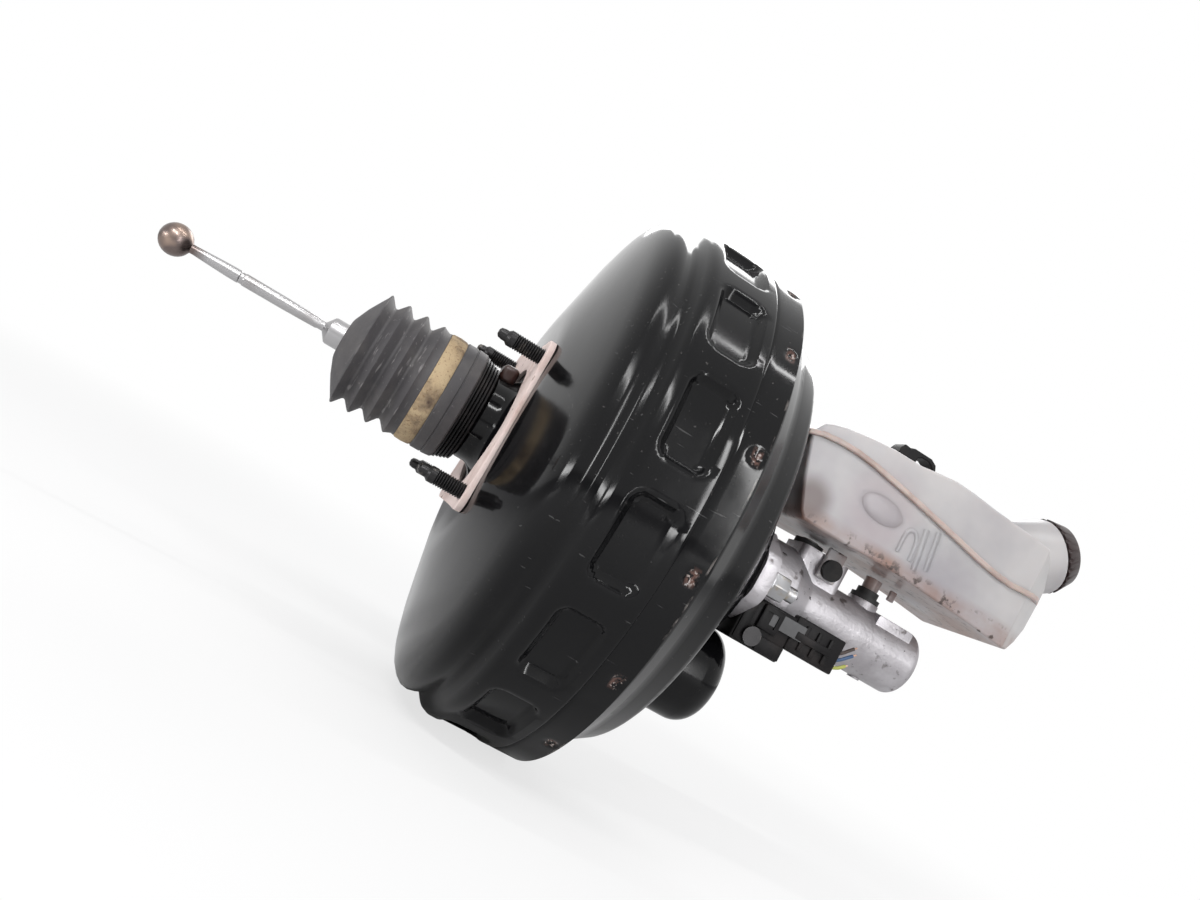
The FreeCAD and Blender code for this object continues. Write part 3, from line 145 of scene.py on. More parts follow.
def soft_lamp(name, place, aim, width, height, power, tint=(1, 1, 1)):
    bpy.ops.object.light_add(type="AREA", location=place)
    lamp = bpy.context.object
    lamp.name = name
    lamp.data.shape = "RECTANGLE"
    lamp.data.size = width
    lamp.data.size_y = height
    lamp.data.energy = power
    lamp.data.color = tint
    lamp.rotation_euler = (Vector(aim) - Vector(place)).to_track_quat("-Z", "Y").to_euler()
    return lamp


soft_lamp("key_lamp", (-0.45, -0.80, 0.70), (0.03, 0, 0.02), 0.90, 0.07, 7.5)
soft_lamp("front_lamp", (0.50, -1.05, 0.30), (0.12, 0, 0), 0.08, 0.80, 5.0)
soft_lamp("back_lamp", (0.35, 1.10, 0.90), (0.10, 0, 0), 1.00, 0.60, 8.0)
soft_lamp("low_lamp", (-0.95, -0.35, -0.02), (0, 0, -0.02), 0.50, 0.05, 2.0)
soft_lamp("top_lamp", (0.05, -0.30, 1.00), (0.05, 0, 0), 1.20, 0.03, 3.0)

world = bpy.data.worlds.new("studio")
bpy.context.scene.world = world
world.use_nodes = True
tree = world.node_tree
tree.nodes.clear()
out = tree.nodes.new("ShaderNodeOutputWorld")
seen = tree.nodes.new("ShaderNodeBackground")
seen.inputs["Color"].default_value = (1, 1, 1, 1)
lit = tree.nodes.new("ShaderNodeBackground")
lit.inputs["Color"].default_value = (0.50, 0.50, 0.51, 1)
lit.inputs["Strength"].default_value = AMBIENT
path = tree.nodes.new("ShaderNodeLightPath")
either = tree.nodes.new("ShaderNodeMath")
either.operation = "MAXIMUM"
any_of = tree.nodes.new("ShaderNodeMath")
any_of.operation = "MAXIMUM"
mix = tree.nodes.new("ShaderNodeMixShader")
tree.links.new(path.outputs["Is Camera Ray"], either.inputs[0])
tree.links.new(path.outputs["Is Transmission Ray"], either.inputs[1])
tree.links.new(either.outputs[0], any_of.inputs[0])
tree.links.new(path.outputs["Is Glossy Ray"], any_of.inputs[1])
tree.links.new(any_of.outputs[0], mix.inputs["Fac"])
tree.links.new(lit.outputs[0], mix.inputs[1])
tree.links.new(seen.outputs[0], mix.inputs[2])
tree.links.new(mix.outputs[0], out.inputs["Surface"])

bpy.ops.mesh.primitive_plane_add(size=FLOOR_SIZE,
                                 location=(0, 0, cad_box[0][2] - FLOOR_GAP))
floor = bpy.context.object
floor.name = "studio_floor"
paper = bpy.data.materials.new("floor_paper")
paper.use_nodes = True
tree = paper.node_tree
tree.nodes.clear()
out = tree.nodes.new("ShaderNodeOutputMaterial")
matt = tree.nodes.new("ShaderNodeBsdfDiffuse")
matt.inputs["Color"].default_value = (0.86, 0.86, 0.86, 1)
glow = tree.nodes.new("ShaderNodeEmission")
path = tree.nodes.new("ShaderNodeLightPath")
place = tree.nodes.new("ShaderNodeTexCoord")
reach = tree.nodes.new("ShaderNodeVectorMath")
reach.operation = "LENGTH"
fade = tree.nodes.new("ShaderNodeMapRange")
fade.interpolation_type = "SMOOTHSTEP"
fade.inputs["From Min"].default_value = FADE_FROM
fade.inputs["From Max"].default_value = FADE_TO
fade.inputs["To Min"].default_value = FADE_LEAST
share = tree.nodes.new("ShaderNodeMath")
share.operation = "MULTIPLY"
mix = tree.nodes.new("ShaderNodeMixShader")
tree.links.new(place.outputs["Object"], reach.inputs[0])
tree.links.new(reach.outputs["Value"], fade.inputs["Value"])
tree.links.new(path.outputs["Is Camera Ray"], share.inputs[0])
tree.links.new(fade.outputs[0], share.inputs[1])
tree.links.new(share.outputs[0], mix.inputs["Fac"])
tree.links.new(matt.outputs[0], mix.inputs[1])
tree.links.new(glow.outputs[0], mix.inputs[2])
tree.links.new(mix.outputs[0], out.inputs["Surface"])
floor.data.materials.append(paper)

# %% [markdown]
# ## Finishes
# One helper starts a finish with its plain sockets. Small ones then add what the real
# surface has: mottling from noise, specks, scratches, a grain for the bump, and dirt that
# gathers by height or along a seam. They all read Object coordinates, which are the
# frame's own metres.

# %% Helpers for finishes
def finish(name, colour, rough, metal=0.0, **sockets):
    made = bpy.data.materials.new(name)
    made.use_nodes = True
    shader = made.node_tree.nodes["Principled BSDF"]
    shader.inputs["Base Color"].default_value = (*colour, 1)
    shader.inputs["Roughness"].default_value = rough
    shader.inputs["Metallic"].default_value = metal
    for socket, number in sockets.items():
        shader.inputs[socket.replace("_", " ")].default_value = number
    return made


def place_of(made):
    tree = made.node_tree
    found = tree.nodes.get("place")
    if not found:
        found = tree.nodes.new("ShaderNodeTexCoord")
        found.name = "place"
    return found.outputs["Object"]


def noise(made, scale, detail=4.0, stretch=(1, 1, 1), rough=0.55):
    tree = made.node_tree
    mapping = tree.nodes.new("ShaderNodeMapping")
    mapping.inputs["Scale"].default_value = stretch
    grain = tree.nodes.new("ShaderNodeTexNoise")
    grain.inputs["Scale"].default_value = scale
    grain.inputs["Detail"].default_value = detail
    grain.inputs["Roughness"].default_value = rough
    tree.links.new(place_of(made), mapping.inputs["Vector"])
    tree.links.new(mapping.outputs[0], grain.inputs["Vector"])
    return grain.outputs["Fac"]


def ramp(made, source, low, high, first=(0, 0, 0), last=(1, 1, 1)):
    tree = made.node_tree
    made_ramp = tree.nodes.new("ShaderNodeValToRGB")
    made_ramp.color_ramp.elements[0].position = low
    made_ramp.color_ramp.elements[1].position = high
    made_ramp.color_ramp.elements[0].color = (*first, 1)
    made_ramp.color_ramp.elements[1].color = (*last, 1)
    tree.links.new(source, made_ramp.inputs["Fac"])
    return made_ramp.outputs["Color"]


def product(made, first, second):
    node = made.node_tree.nodes.new("ShaderNodeMath")
    node.operation = "MULTIPLY"
    made.node_tree.links.new(first, node.inputs[0])
    if isinstance(second, float):
        node.inputs[1].default_value = second
    else:
        made.node_tree.links.new(second, node.inputs[1])
    return node.outputs[0]


def tint(made, mask, colour):
    """Lay a colour over the finish wherever the mask is white."""
    tree = made.node_tree
    shader = tree.nodes["Principled BSDF"]
    blend = tree.nodes.new("ShaderNodeMix")
    blend.data_type = "RGBA"
    socket = shader.inputs["Base Color"]
    if socket.is_linked:
        tree.links.new(socket.links[0].from_socket, blend.inputs["A"])
    else:
        blend.inputs["A"].default_value = socket.default_value
    blend.inputs["B"].default_value = (*colour, 1)
    tree.links.new(mask, blend.inputs["Factor"])
    tree.links.new(blend.outputs["Result"], socket)


def vary(made, mask, low, high, socket="Roughness"):
    tree = made.node_tree
    span = tree.nodes.new("ShaderNodeMapRange")
    span.inputs["To Min"].default_value = low
    span.inputs["To Max"].default_value = high
    tree.links.new(mask, span.inputs["Value"])
    tree.links.new(span.outputs[0], made.node_tree.nodes["Principled BSDF"].inputs[socket])


def bump(made, height, depth, strength=0.5):
    tree = made.node_tree
    lift = tree.nodes.new("ShaderNodeBump")
    lift.inputs["Strength"].default_value = strength
    lift.inputs["Distance"].default_value = depth
    socket = tree.nodes["Principled BSDF"].inputs["Normal"]
    if socket.is_linked:
        tree.links.new(socket.links[0].from_socket, lift.inputs["Normal"])
    tree.links.new(height, lift.inputs["Height"])
    tree.links.new(lift.outputs[0], socket)


def mottle(made, scale, detail, low, high, colour):
    """Blotches of a colour over the finish: the larger the scale, the smaller they are."""
    tint(made, ramp(made, noise(made, scale, detail), low, high), colour)


def grain(made, scale, detail, depth, strength):
    """An even bumpiness all over, as deep as depth in metres."""
    bump(made, noise(made, scale, detail), depth, strength)


def along(made, axis, low, high):
    """A mask that is 1 between two places along an axis, in metres, with soft ends."""
    tree = made.node_tree
    split = tree.nodes.new("ShaderNodeSeparateXYZ")
    tree.links.new(place_of(made), split.inputs[0])
    centre, half = (low + high) / 2, (high - low) / 2
    away = tree.nodes.new("ShaderNodeMath")
    away.operation = "SUBTRACT"
    away.inputs[1].default_value = centre
    size = tree.nodes.new("ShaderNodeMath")
    size.operation = "ABSOLUTE"
    fade = tree.nodes.new("ShaderNodeMapRange")
    fade.inputs["From Min"].default_value = half * 1.25
    fade.inputs["From Max"].default_value = half * 0.75
    tree.links.new(split.outputs["XYZ".index(axis)], away.inputs[0])
    tree.links.new(away.outputs[0], size.inputs[0])
    tree.links.new(size.outputs[0], fade.inputs["Value"])
    return fade.outputs[0]


def near_to(made, centre, low, high):
    """A mask that is 1 within one distance of a place and fades out to another."""
    tree = made.node_tree
    gap = tree.nodes.new("ShaderNodeVectorMath")
    gap.operation = "DISTANCE"
    gap.inputs[1].default_value = centre
    fade = tree.nodes.new("ShaderNodeMapRange")
    fade.interpolation_type = "SMOOTHSTEP"
    fade.inputs["From Min"].default_value = high
    fade.inputs["From Max"].default_value = low
    tree.links.new(place_of(made), gap.inputs[0])
    tree.links.new(gap.outputs["Value"], fade.inputs["Value"])
    return fade.outputs[0]


def repeated(made, count, phase, low, high):
    """A mask that is 1 at every repeat round the X axis, between two shares of a step."""
    tree = made.node_tree
    split = tree.nodes.new("ShaderNodeSeparateXYZ")
    tree.links.new(place_of(made), split.inputs[0])
    steps = [("MULTIPLY", -1.0), ("ARCTAN2", None), ("MULTIPLY", count / math.tau),
             ("ADD", 1.0 * count - phase * count / 360), ("FRACT", None), ("SUBTRACT", 0.5),
             ("ABSOLUTE", None)]
    last = split.outputs["Y"]
    for operation, number in steps:
        node = tree.nodes.new("ShaderNodeMath")
        node.operation = operation
        if operation == "ARCTAN2":
            tree.links.new(split.outputs["Z"], node.inputs[0])
            tree.links.new(last, node.inputs[1])
        else:
            tree.links.new(last, node.inputs[0])
            if number is not None:
                node.inputs[1].default_value = number
        last = node.outputs[0]
    fade = tree.nodes.new("ShaderNodeMapRange")
    fade.inputs["From Min"].default_value = 0.5 - high
    fade.inputs["From Max"].default_value = 0.5 - low
    tree.links.new(last, fade.inputs["Value"])
    return fade.outputs[0]


def dress(made, *names):
    """Give a finish to nodes of the frame or to new pieces."""
    for name in names:
        thing = nodes[name] if isinstance(name, str) else name
        thing.data.materials.clear()
        thing.data.materials.append(made)


print("finish helpers ready")

# %% [markdown]
# The shells are dipped in gloss black: almost no colour of its own, a hard clear surface
# with a faint ripple, dust in places, hair scratches, and bare rusty metal where the
# crimping tool has bitten at the rim.

# %% Gloss black paint
shell_paint = finish("shell_paint", (0.0035, 0.0035, 0.004), 0.14)
shell_paint.node_tree.nodes["Principled BSDF"].inputs["Specular IOR Level"].default_value = 0.20
vary(shell_paint, ramp(shell_paint, noise(shell_paint, 22, 5), 0.35, 0.75), 0.07, 0.20)
dust = ramp(shell_paint, noise(shell_paint, 520, 3), 0.68, 0.75)
dusty_places = ramp(shell_paint, noise(shell_paint, 9, 3), 0.42, 0.66)
tint(shell_paint, product(shell_paint, dust, dusty_places), (0.085, 0.08, 0.078))
grain(shell_paint, 45, 2, 0.0004, 0.08)
scratches = ramp(shell_paint, noise(shell_paint, 48, 2, (1, 12, 12)), 0.715, 0.735)
tint(shell_paint, product(shell_paint, scratches, 0.5), (0.09, 0.09, 0.09))
bitten = product(shell_paint,
                 along(shell_paint, "X", (CRIMP_X - CRIMP_WEAR) * MM, (CRIMP_X + CRIMP_WEAR) * MM),
                 repeated(shell_paint, POCKETS, PHASE, 0.035, 0.085))
rusty = product(shell_paint, bitten, ramp(shell_paint, noise(shell_paint, 330, 5), 0.46, 0.56))
tint(shell_paint, rusty, (0.10, 0.055, 0.045))
bare = product(shell_paint, bitten, ramp(shell_paint, noise(shell_paint, 520, 4), 0.57, 0.63))
tint(shell_paint, bare, (0.34, 0.29, 0.27))
chipped = product(shell_paint,
                  along(shell_paint, "X", (RIM_X - RIM_WEAR) * MM, (RIM_X + RIM_WEAR) * MM),
                  ramp(shell_paint, noise(shell_paint, 150, 5, (1, 0.5, 0.5)), 0.56, 0.64))
tint(shell_paint, product(shell_paint, chipped, 0.5), (0.20, 0.18, 0.17))
dress(shell_paint, "front_shell")

# %% [markdown]
# The dust boot and its collar are moulded rubber, dark grey and bloomed with dust, so the
# colour is mottled and the surface is nearly matt. Seals, cups and other rubber inside get
# a plain darker one.

# %% Rubber
boot_rubber = finish("boot_rubber", (0.048, 0.045, 0.048), 0.66)
mottle(boot_rubber, 40, 6, 0.45, 0.8, (0.105, 0.098, 0.095))
mottle(boot_rubber, 700, 2, 0.70, 0.78, (0.26, 0.25, 0.24))
worn = product(boot_rubber, along(boot_rubber, "X", -0.075, -0.044),
               ramp(boot_rubber, noise(boot_rubber, 330, 3, (1.6, 0.25, 0.25)), 0.62, 0.68))
tint(boot_rubber, product(boot_rubber, worn, 0.7), (0.22, 0.21, 0.21))
grain(boot_rubber, 900, 3, 0.0002, 0.35)
vary(boot_rubber, noise(boot_rubber, 30, 4), 0.50, 0.75)
hidden_rubber = finish("plain_rubber", (0.02, 0.02, 0.02), 0.6)
grain(hidden_rubber, 500, 3, 0.0002, 0.3)
mottle(hidden_rubber, 60, 4, 0.5, 0.8, (0.05, 0.05, 0.05))
dress(hidden_rubber, "neck_seal", "poppet_valve", "reaction_disc", "primary_cup",
      "secondary_cup", "spigot_seal", "cap_seal", "reservoir_grommets", "vacuum_grommet",
      "check_valve_disc")

# %% [markdown]
# The air filter is a ring of open foam, once yellow. Pores are a fine noise with a deep
# bump, and oil has soaked in as dark patches. The gasket is a closer, pale pink foam with
# a few brown specks.

# %% Foams
filter_foam = finish("filter_foam", (0.46, 0.355, 0.22), 0.92)
mottle(filter_foam, 55, 5, 0.40, 0.70, (0.35, 0.25, 0.145))
tint(filter_foam, ramp(filter_foam, noise(filter_foam, 30, 5, (1, 1, 1), 0.65), 0.47, 0.60),
     (0.075, 0.05, 0.038))
mottle(filter_foam, 900, 2, 0.60, 0.68, (0.20, 0.13, 0.07))
grain(filter_foam, 1100, 3, 0.0006, 0.8)

gasket_foam = finish("gasket_foam", (0.80, 0.66, 0.62), 0.75)
mottle(gasket_foam, 60, 5, 0.50, 0.75, (0.62, 0.45, 0.40))
mottle(gasket_foam, 160, 4, 0.66, 0.72, (0.25, 0.17, 0.13))
grain(gasket_foam, 350, 3, 0.0004, 0.5)

# %% [markdown]
# Six metals: dark zinc on the bulkhead studs and the screw, a ground rod whose ball is
# painted dark brown with lighter brown patches as a painted reflection of dark surroundings,
# spring wire, zinc plate on nuts and inner sheet, turned alloy on pistons, and sand-cast
# alloy with a grainy skin and oily smudges.

# %% Metals
black_zinc = finish("black_zinc", (0.030, 0.029, 0.030), 0.34, 0.75)
mottle(black_zinc, 220, 4, 0.58, 0.72, (0.11, 0.10, 0.09))
vary(black_zinc, noise(black_zinc, 150, 4), 0.22, 0.5)
ground_steel = finish("ground_steel", (0.40, 0.395, 0.40), 0.34, 1.0)
mottle(ground_steel, 35, 2, 0.50, 0.85, (0.26, 0.235, 0.225))
# Painted reflection: the ball and its neck are darkened to brown, with lighter brown patches, for
# the dark surroundings that a chrome ball mirrors.
painted_ball_reflection = product(ground_steel, along(ground_steel, "X", -0.190, -0.161), 0.9)
tint(ground_steel, painted_ball_reflection, (0.13, 0.095, 0.085))
tint(ground_steel, product(ground_steel, ramp(ground_steel, noise(ground_steel, 42, 3), 0.50, 0.62),
                           along(ground_steel, "X", -0.190, -0.163)), (0.36, 0.27, 0.22))
vary(ground_steel, noise(ground_steel, 30, 2), 0.28, 0.38)
spring_wire = finish("spring_wire", (0.22, 0.22, 0.23), 0.35, 1.0)
mottle(spring_wire, 200, 4, 0.5, 0.7, (0.12, 0.11, 0.10))
plated = finish("zinc_plate", (0.33, 0.33, 0.34), 0.40, 0.95)
mottle(plated, 150, 5, 0.50, 0.70, (0.30, 0.26, 0.20))
vary(plated, noise(plated, 90, 4), 0.28, 0.5)
dress(plated, "piston_plate", "output_rod", "spring_seat", "front_studs")
turned_alloy = finish("turned_alloy", (0.60, 0.60, 0.60), 0.28, 1.0)
bump(turned_alloy, noise(turned_alloy, 900, 2, (1, 0.1, 0.1)), 0.0001, 0.3)
vary(turned_alloy, noise(turned_alloy, 80, 3), 0.22, 0.38)
dress(turned_alloy, "primary_piston", "secondary_piston", "plunger")
cast_alloy = finish("cast_alloy", (0.47, 0.455, 0.475), 0.42, 0.85)
mottle(cast_alloy, 26, 5, 0.46, 0.78, (0.24, 0.225, 0.235))
mottle(cast_alloy, 120, 4, 0.60, 0.68, (0.16, 0.145, 0.145))
mottle(cast_alloy, 330, 3, 0.68, 0.73, (0.05, 0.045, 0.045))
grain(cast_alloy, 520, 4, 0.0004, 0.55)
vary(cast_alloy, noise(cast_alloy, 50, 4), 0.34, 0.60)

# %% [markdown]
# The moulded plastics: satin black for the pin, clip ring, sensor and plug, a greyer one
# for the sensor's clip and the strainer, and brown-black ones for the cap and the lug. The
# reservoir's milky one lets light in under its skin. A brown band along its floor is partly a
# stain and partly painted shade with a painted reddish reflection, with dark specks of dirt in
# it, and a soft violet-grey patch round the oval pad is painted shade. Its weld flange has the
# browner tone of melted plastic.

# %% Plastics
black_plastic = finish("black_plastic", (0.007, 0.0065, 0.007), 0.42, Specular_IOR_Level=0.14)
grain(black_plastic, 800, 2, 0.0001, 0.3)
mottle(black_plastic, 70, 5, 0.52, 0.8, (0.026, 0.022, 0.021))
vary(black_plastic, noise(black_plastic, 60, 4), 0.32, 0.58)
dress(black_plastic, "guide_bush", "valve_body", "reservoir_pin", "check_valve")
grey_plastic = finish("grey_plastic", (0.055, 0.055, 0.058), 0.45)
mottle(grey_plastic, 90, 4, 0.5, 0.8, (0.035, 0.035, 0.036))
grain(grey_plastic, 700, 2, 0.0001, 0.3)
dress(grey_plastic, "strainer", "sensor_clip")
cap_plastic = finish("cap_plastic", (0.020, 0.010, 0.010), 0.36, Specular_IOR_Level=0.3)
mottle(cap_plastic, 90, 4, 0.5, 0.75, (0.045, 0.022, 0.02))
grain(cap_plastic, 600, 2, 0.0001, 0.3)
lug_plastic = finish("lug_plastic", (0.038, 0.017, 0.014), 0.30)
mottle(lug_plastic, 120, 4, 0.5, 0.75, (0.03, 0.015, 0.012))
grain(lug_plastic, 400, 3, 0.0002, 0.4)
milky = finish("milky_tank", (0.435, 0.42, 0.42), 0.34, Subsurface_Weight=0.30,
               Subsurface_Scale=0.012)
milky.node_tree.nodes["Principled BSDF"].inputs["Subsurface Radius"].default_value = (1, 0.8, 0.7)
mottle(milky, 13, 4, 0.40, 0.70, (0.27, 0.255, 0.275))
# Painted shade: a soft violet-grey darkening round the oval pad on the near wall.
tint(milky, product(milky, near_to(milky, (0.1875, -0.040, 0.0612), 0.010, 0.030), 0.45),
     (0.33, 0.26, 0.275))
# A brown band along the floor and lower sides: partly a stain, partly painted shade with a painted
# reddish reflection.
tint(milky, product(milky, along(milky, "Z", 0.020, 0.043),
                    ramp(milky, noise(milky, 30, 5), 0.30, 0.66)), (0.23, 0.135, 0.105))
tint(milky, product(milky, ramp(milky, noise(milky, 210, 4), 0.57, 0.66),
                    along(milky, "Z", 0.024, 0.0415)), (0.06, 0.04, 0.035))
tint(milky, product(milky, near_to(milky, (0.150, -0.040, 0.0465), 0.005, 0.016), 0.85),
     (0.085, 0.05, 0.045))
grain(milky, 45, 3, 0.0008, 0.30)
weld_stain = finish("weld_flange", (0.42, 0.345, 0.315), 0.42, Subsurface_Weight=0.2,
                    Subsurface_Scale=0.006)
mottle(weld_stain, 60, 4, 0.45, 0.7, (0.30, 0.225, 0.20))
grain(weld_stain, 200, 3, 0.0003, 0.3)
print("finishes:", len(bpy.data.materials))

# %% [markdown]
# ## Tools of the workshop
# Most pieces here are round. `draw_line` pulls one point along a list of places in edit
# mode, as by hand with E, and `lathe` spins such a line round an axis. `extruded` closes
# the line to a face instead and pulls it out sideways, for a moulding seen from its side.
# `tube` runs a round bar along a curve, for wires and for low ribs.

# %% Modelling helpers
def only(thing):
    bpy.ops.object.select_all(action="DESELECT")
    thing.select_set(True)
    bpy.context.view_layer.objects.active = thing


def draw_line(name, places):
    bpy.ops.object.select_all(action="DESELECT")
    bpy.ops.mesh.primitive_plane_add(size=0.001, location=(0, 0, 0))
    piece = bpy.context.object
    piece.name = name
    bpy.ops.object.mode_set(mode="EDIT")
    bpy.ops.mesh.select_mode(type="VERT")
    bpy.ops.mesh.select_all(action="SELECT")
    bpy.ops.mesh.merge(type="CENTER")
    bpy.ops.transform.translate(value=places[0])
    for before, after in zip(places, places[1:]):
        step = tuple(b - a for a, b in zip(before, after))
        bpy.ops.mesh.extrude_region_move(TRANSFORM_OT_translate={"value": step})
    bpy.ops.mesh.select_all(action="SELECT")
    return piece


def close_up(piece, angle=35):
    """Merge doubles, point the faces outwards, leave edit mode and smooth."""
    bpy.ops.mesh.select_all(action="SELECT")
    bpy.ops.mesh.remove_doubles(threshold=0.00002)
    bpy.ops.mesh.normals_make_consistent(inside=False)
    bpy.ops.object.mode_set(mode="OBJECT")
    only(piece)
    bpy.ops.object.shade_smooth_by_angle(angle=math.radians(angle))
    return piece


def lathe(name, outline, centre=(0, 0, 0), axis=(1, 0, 0), steps=96, angle=35):
    """Spin an outline, given in mm as (along the axis, radius), once round the axis."""
    axis = Vector(axis).normalized()
    side = axis.cross(Vector((0, 1, 0))).normalized()
    places = [tuple(Vector(centre) + axis * a * MM + side * r * MM) for a, r in outline]
    piece = draw_line(name, places)
    bpy.ops.mesh.spin(steps=steps, angle=math.tau, center=centre, axis=axis)
    return close_up(piece, angle)


def extruded(name, outline, near, far):
    """A flat outline, given in mm as (x, z), pulled from y = near to y = far."""
    piece = draw_line(name, [(x * MM, near * MM, z * MM) for x, z in outline])
    bpy.ops.mesh.edge_face_add()
    bpy.ops.mesh.extrude_region_move(
        TRANSFORM_OT_translate={"value": (0, (far - near) * MM, 0)})
    return close_up(piece)


def block(name, low, high):
    """A box between two corners in mm, with its place in its mesh."""
    bpy.ops.object.select_all(action="DESELECT")
    middle = [(a + b) / 2 * MM for a, b in zip(low, high)]
    bpy.ops.mesh.primitive_cube_add(size=1, location=middle)
    piece = bpy.context.object
    piece.name = name
    piece.scale = [(b - a) * MM for a, b in zip(low, high)]
    bpy.ops.object.transform_apply(location=True, rotation=True, scale=True)
    return piece


def soften(piece, width, segments=3, limit=40):
    only(piece)
    edges = piece.modifiers.new("soft_edges", "BEVEL")
    edges.width = width * MM
    edges.segments = segments
    edges.limit_method = "ANGLE"
    edges.angle_limit = math.radians(limit)
    bpy.ops.object.modifier_apply(modifier=edges.name)
    bpy.ops.object.shade_smooth_by_angle(angle=math.radians(40))
    return piece


def tube(name, places, radius, roundness):
    """A round bar through places, all in mm, as a mesh with closed ends."""
    bpy.ops.object.select_all(action="DESELECT")
    bpy.ops.curve.primitive_nurbs_path_add()
    line = bpy.context.object
    line.name = name
    line.data.splines.clear()
    spline = line.data.splines.new("NURBS")
    spline.points.add(len(places) - 1)
    for point, (x, y, z) in zip(spline.points, places):
        point.co = (x * MM, y * MM, z * MM, 1)
    spline.order_u = 3
    spline.use_endpoint_u = True
    line.data.bevel_depth = radius * MM
    line.data.bevel_resolution = roundness
    line.data.use_fill_caps = True
    bpy.ops.object.convert(target="MESH")
    bpy.ops.object.shade_smooth()
    return bpy.context.object


def join(name, pieces):
    bpy.ops.object.select_all(action="DESELECT")
    for piece in pieces:
        piece.select_set(True)
    bpy.context.view_layer.objects.active = pieces[0]
    bpy.ops.object.join()
    pieces[0].name = name
    return pieces[0]


def fit(piece, body, made, *stands_for, slot=None):
    """Dress a piece, let it ride on its body and stand for its nodes of the frame."""
    dress(made, piece)
    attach(piece, body)
    if stands_for:
        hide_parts(*stands_for)
    print(piece.name, len(piece.data.polygons), "faces")
    return piece


# %% [markdown]
# ## Rear shell
# A deep-drawn dish: a neck with a drum, a cone, a rolled bead, a groove, and a wide band
# with sixteen pressed pockets. The outline is spun in many fine steps, with close rows
# where the pockets will be, because pressed sheet has no sharp edge anywhere.

# %% Rear shell
STEPS = POCKETS * 36
shell_line = [
    (-46, 18.5), (-12.4, 18.5), (-12.4, 21.6), (-11.6, 22.5), (-10.8, 22.7), (-6.0, 22.7),
    (-4.6, 23.1), (-2.4, 24.8), (-0.9, 27.2), (0, 30.5), (0, 60), (0.5, 66.5), (1.4, 72),
    (3.6, 82), (6.4, 95), (9.6, 109), (12.2, 118.2), (13.6, 122.4), (15.6, 126.6),
    (18.2, 129.8), (20.6, 131.6), (23.2, 132.1), (26.0, 131.5), (28.4, 130.6), (30.4, 130.5),
    (32.2, 131.6), (34.2, 134.6), (36.0, 137.0), (38.2, 137.9), (40.4, BAND),
]
shell_line += [(41.6 + row * 1.3, BAND) for row in range(20)]
shell_line += [(69.6, BAND), (70.4, 137.9), (71.0, 137.5), (71.6, 137.9), (72.4, BAND)]
shell_line += [(75.0 + row * 1.25, BAND) for row in range(8)] + [(85, BAND)]
start_turn = math.radians(PHASE) - math.pi / 2
across, up = math.sin(start_turn), math.cos(start_turn)
shell = draw_line("rear_shell_skin",
                  [(x * MM, r * MM * across, r * MM * up) for x, r in shell_line])
bpy.ops.mesh.spin(steps=STEPS, angle=math.tau, center=(0, 0, 0), axis=(1, 0, 0))
close_up(shell)
print("rear shell faces:", len(shell.data.polygons))

# %% [markdown]
# Each pocket is a rounded rectangle pressed about 4 mm deep, and each crimp by the rim a small
# round dent. A point's depth follows from how far it lies inside the rectangle or from
# the dent's centre, with a soft step, and the point moves straight towards the axis. The
# sheet then gets its 1.8 mm wall inwards.

# %% Pockets, crimps and wall of the rear shell
POCKET_X, HALF_LENGTH, HALF_WIDTH, CORNER = 54, 10.4, 18.6, 5.0
POCKET_DEPTH, POCKET_SLOPE = 4.2, 3.6
PRESSED_FROM, PRESSED_TO = 41, 84.5
SHEET = 1.8


def arc_off(place):
    """Millimetres round the band from the middle of the nearest pocket."""
    turn = (math.degrees(math.atan2(place.z, -place.y)) - PHASE) % PITCH
    return math.radians(min(turn, PITCH - turn)) * BAND


def soft_step(share):
    share = min(1.0, max(0.0, share))
    return share * share * (3 - 2 * share)


def pressed(place):
    """How deep the press sank this point of the band, in millimetres."""
    lengthways = abs(place.x / MM - POCKET_X) - HALF_LENGTH + CORNER
    sideways = arc_off(place) - HALF_WIDTH + CORNER
    outside_by = math.hypot(max(lengthways, 0), max(sideways, 0))
    inside_by = min(max(lengthways, sideways), 0)
    edge = outside_by + inside_by - CORNER
    pocket = POCKET_DEPTH * soft_step(0.5 - edge / POCKET_SLOPE)
    crimp = math.hypot(place.x / MM - CRIMP_X, arc_off(place)) / CRIMP_REACH
    return pocket + CRIMP_DEPTH * soft_step(1 - crimp)


for vertex in shell.data.vertices:
    place = vertex.co
    if PRESSED_FROM * MM < place.x < PRESSED_TO * MM:
        left = 1 - pressed(place) / BAND
        place.y *= left
        place.z *= left
only(shell)
wall = shell.modifiers.new("sheet", "SOLIDIFY")
wall.thickness = SHEET * MM
wall.offset = -1
bpy.ops.object.modifier_apply(modifier=wall.name)
bpy.ops.object.shade_smooth_by_angle(angle=math.radians(38))
fit(shell, "housing", shell_paint, "rear_shell", slot="black_shell")

# %% [markdown]
# ## Dust boot
# A bellows with four sharp ridges between rounded valleys and a cone down to the rod. The
# outline is drawn once outside and comes back inside, so the spun mesh is a closed skin.

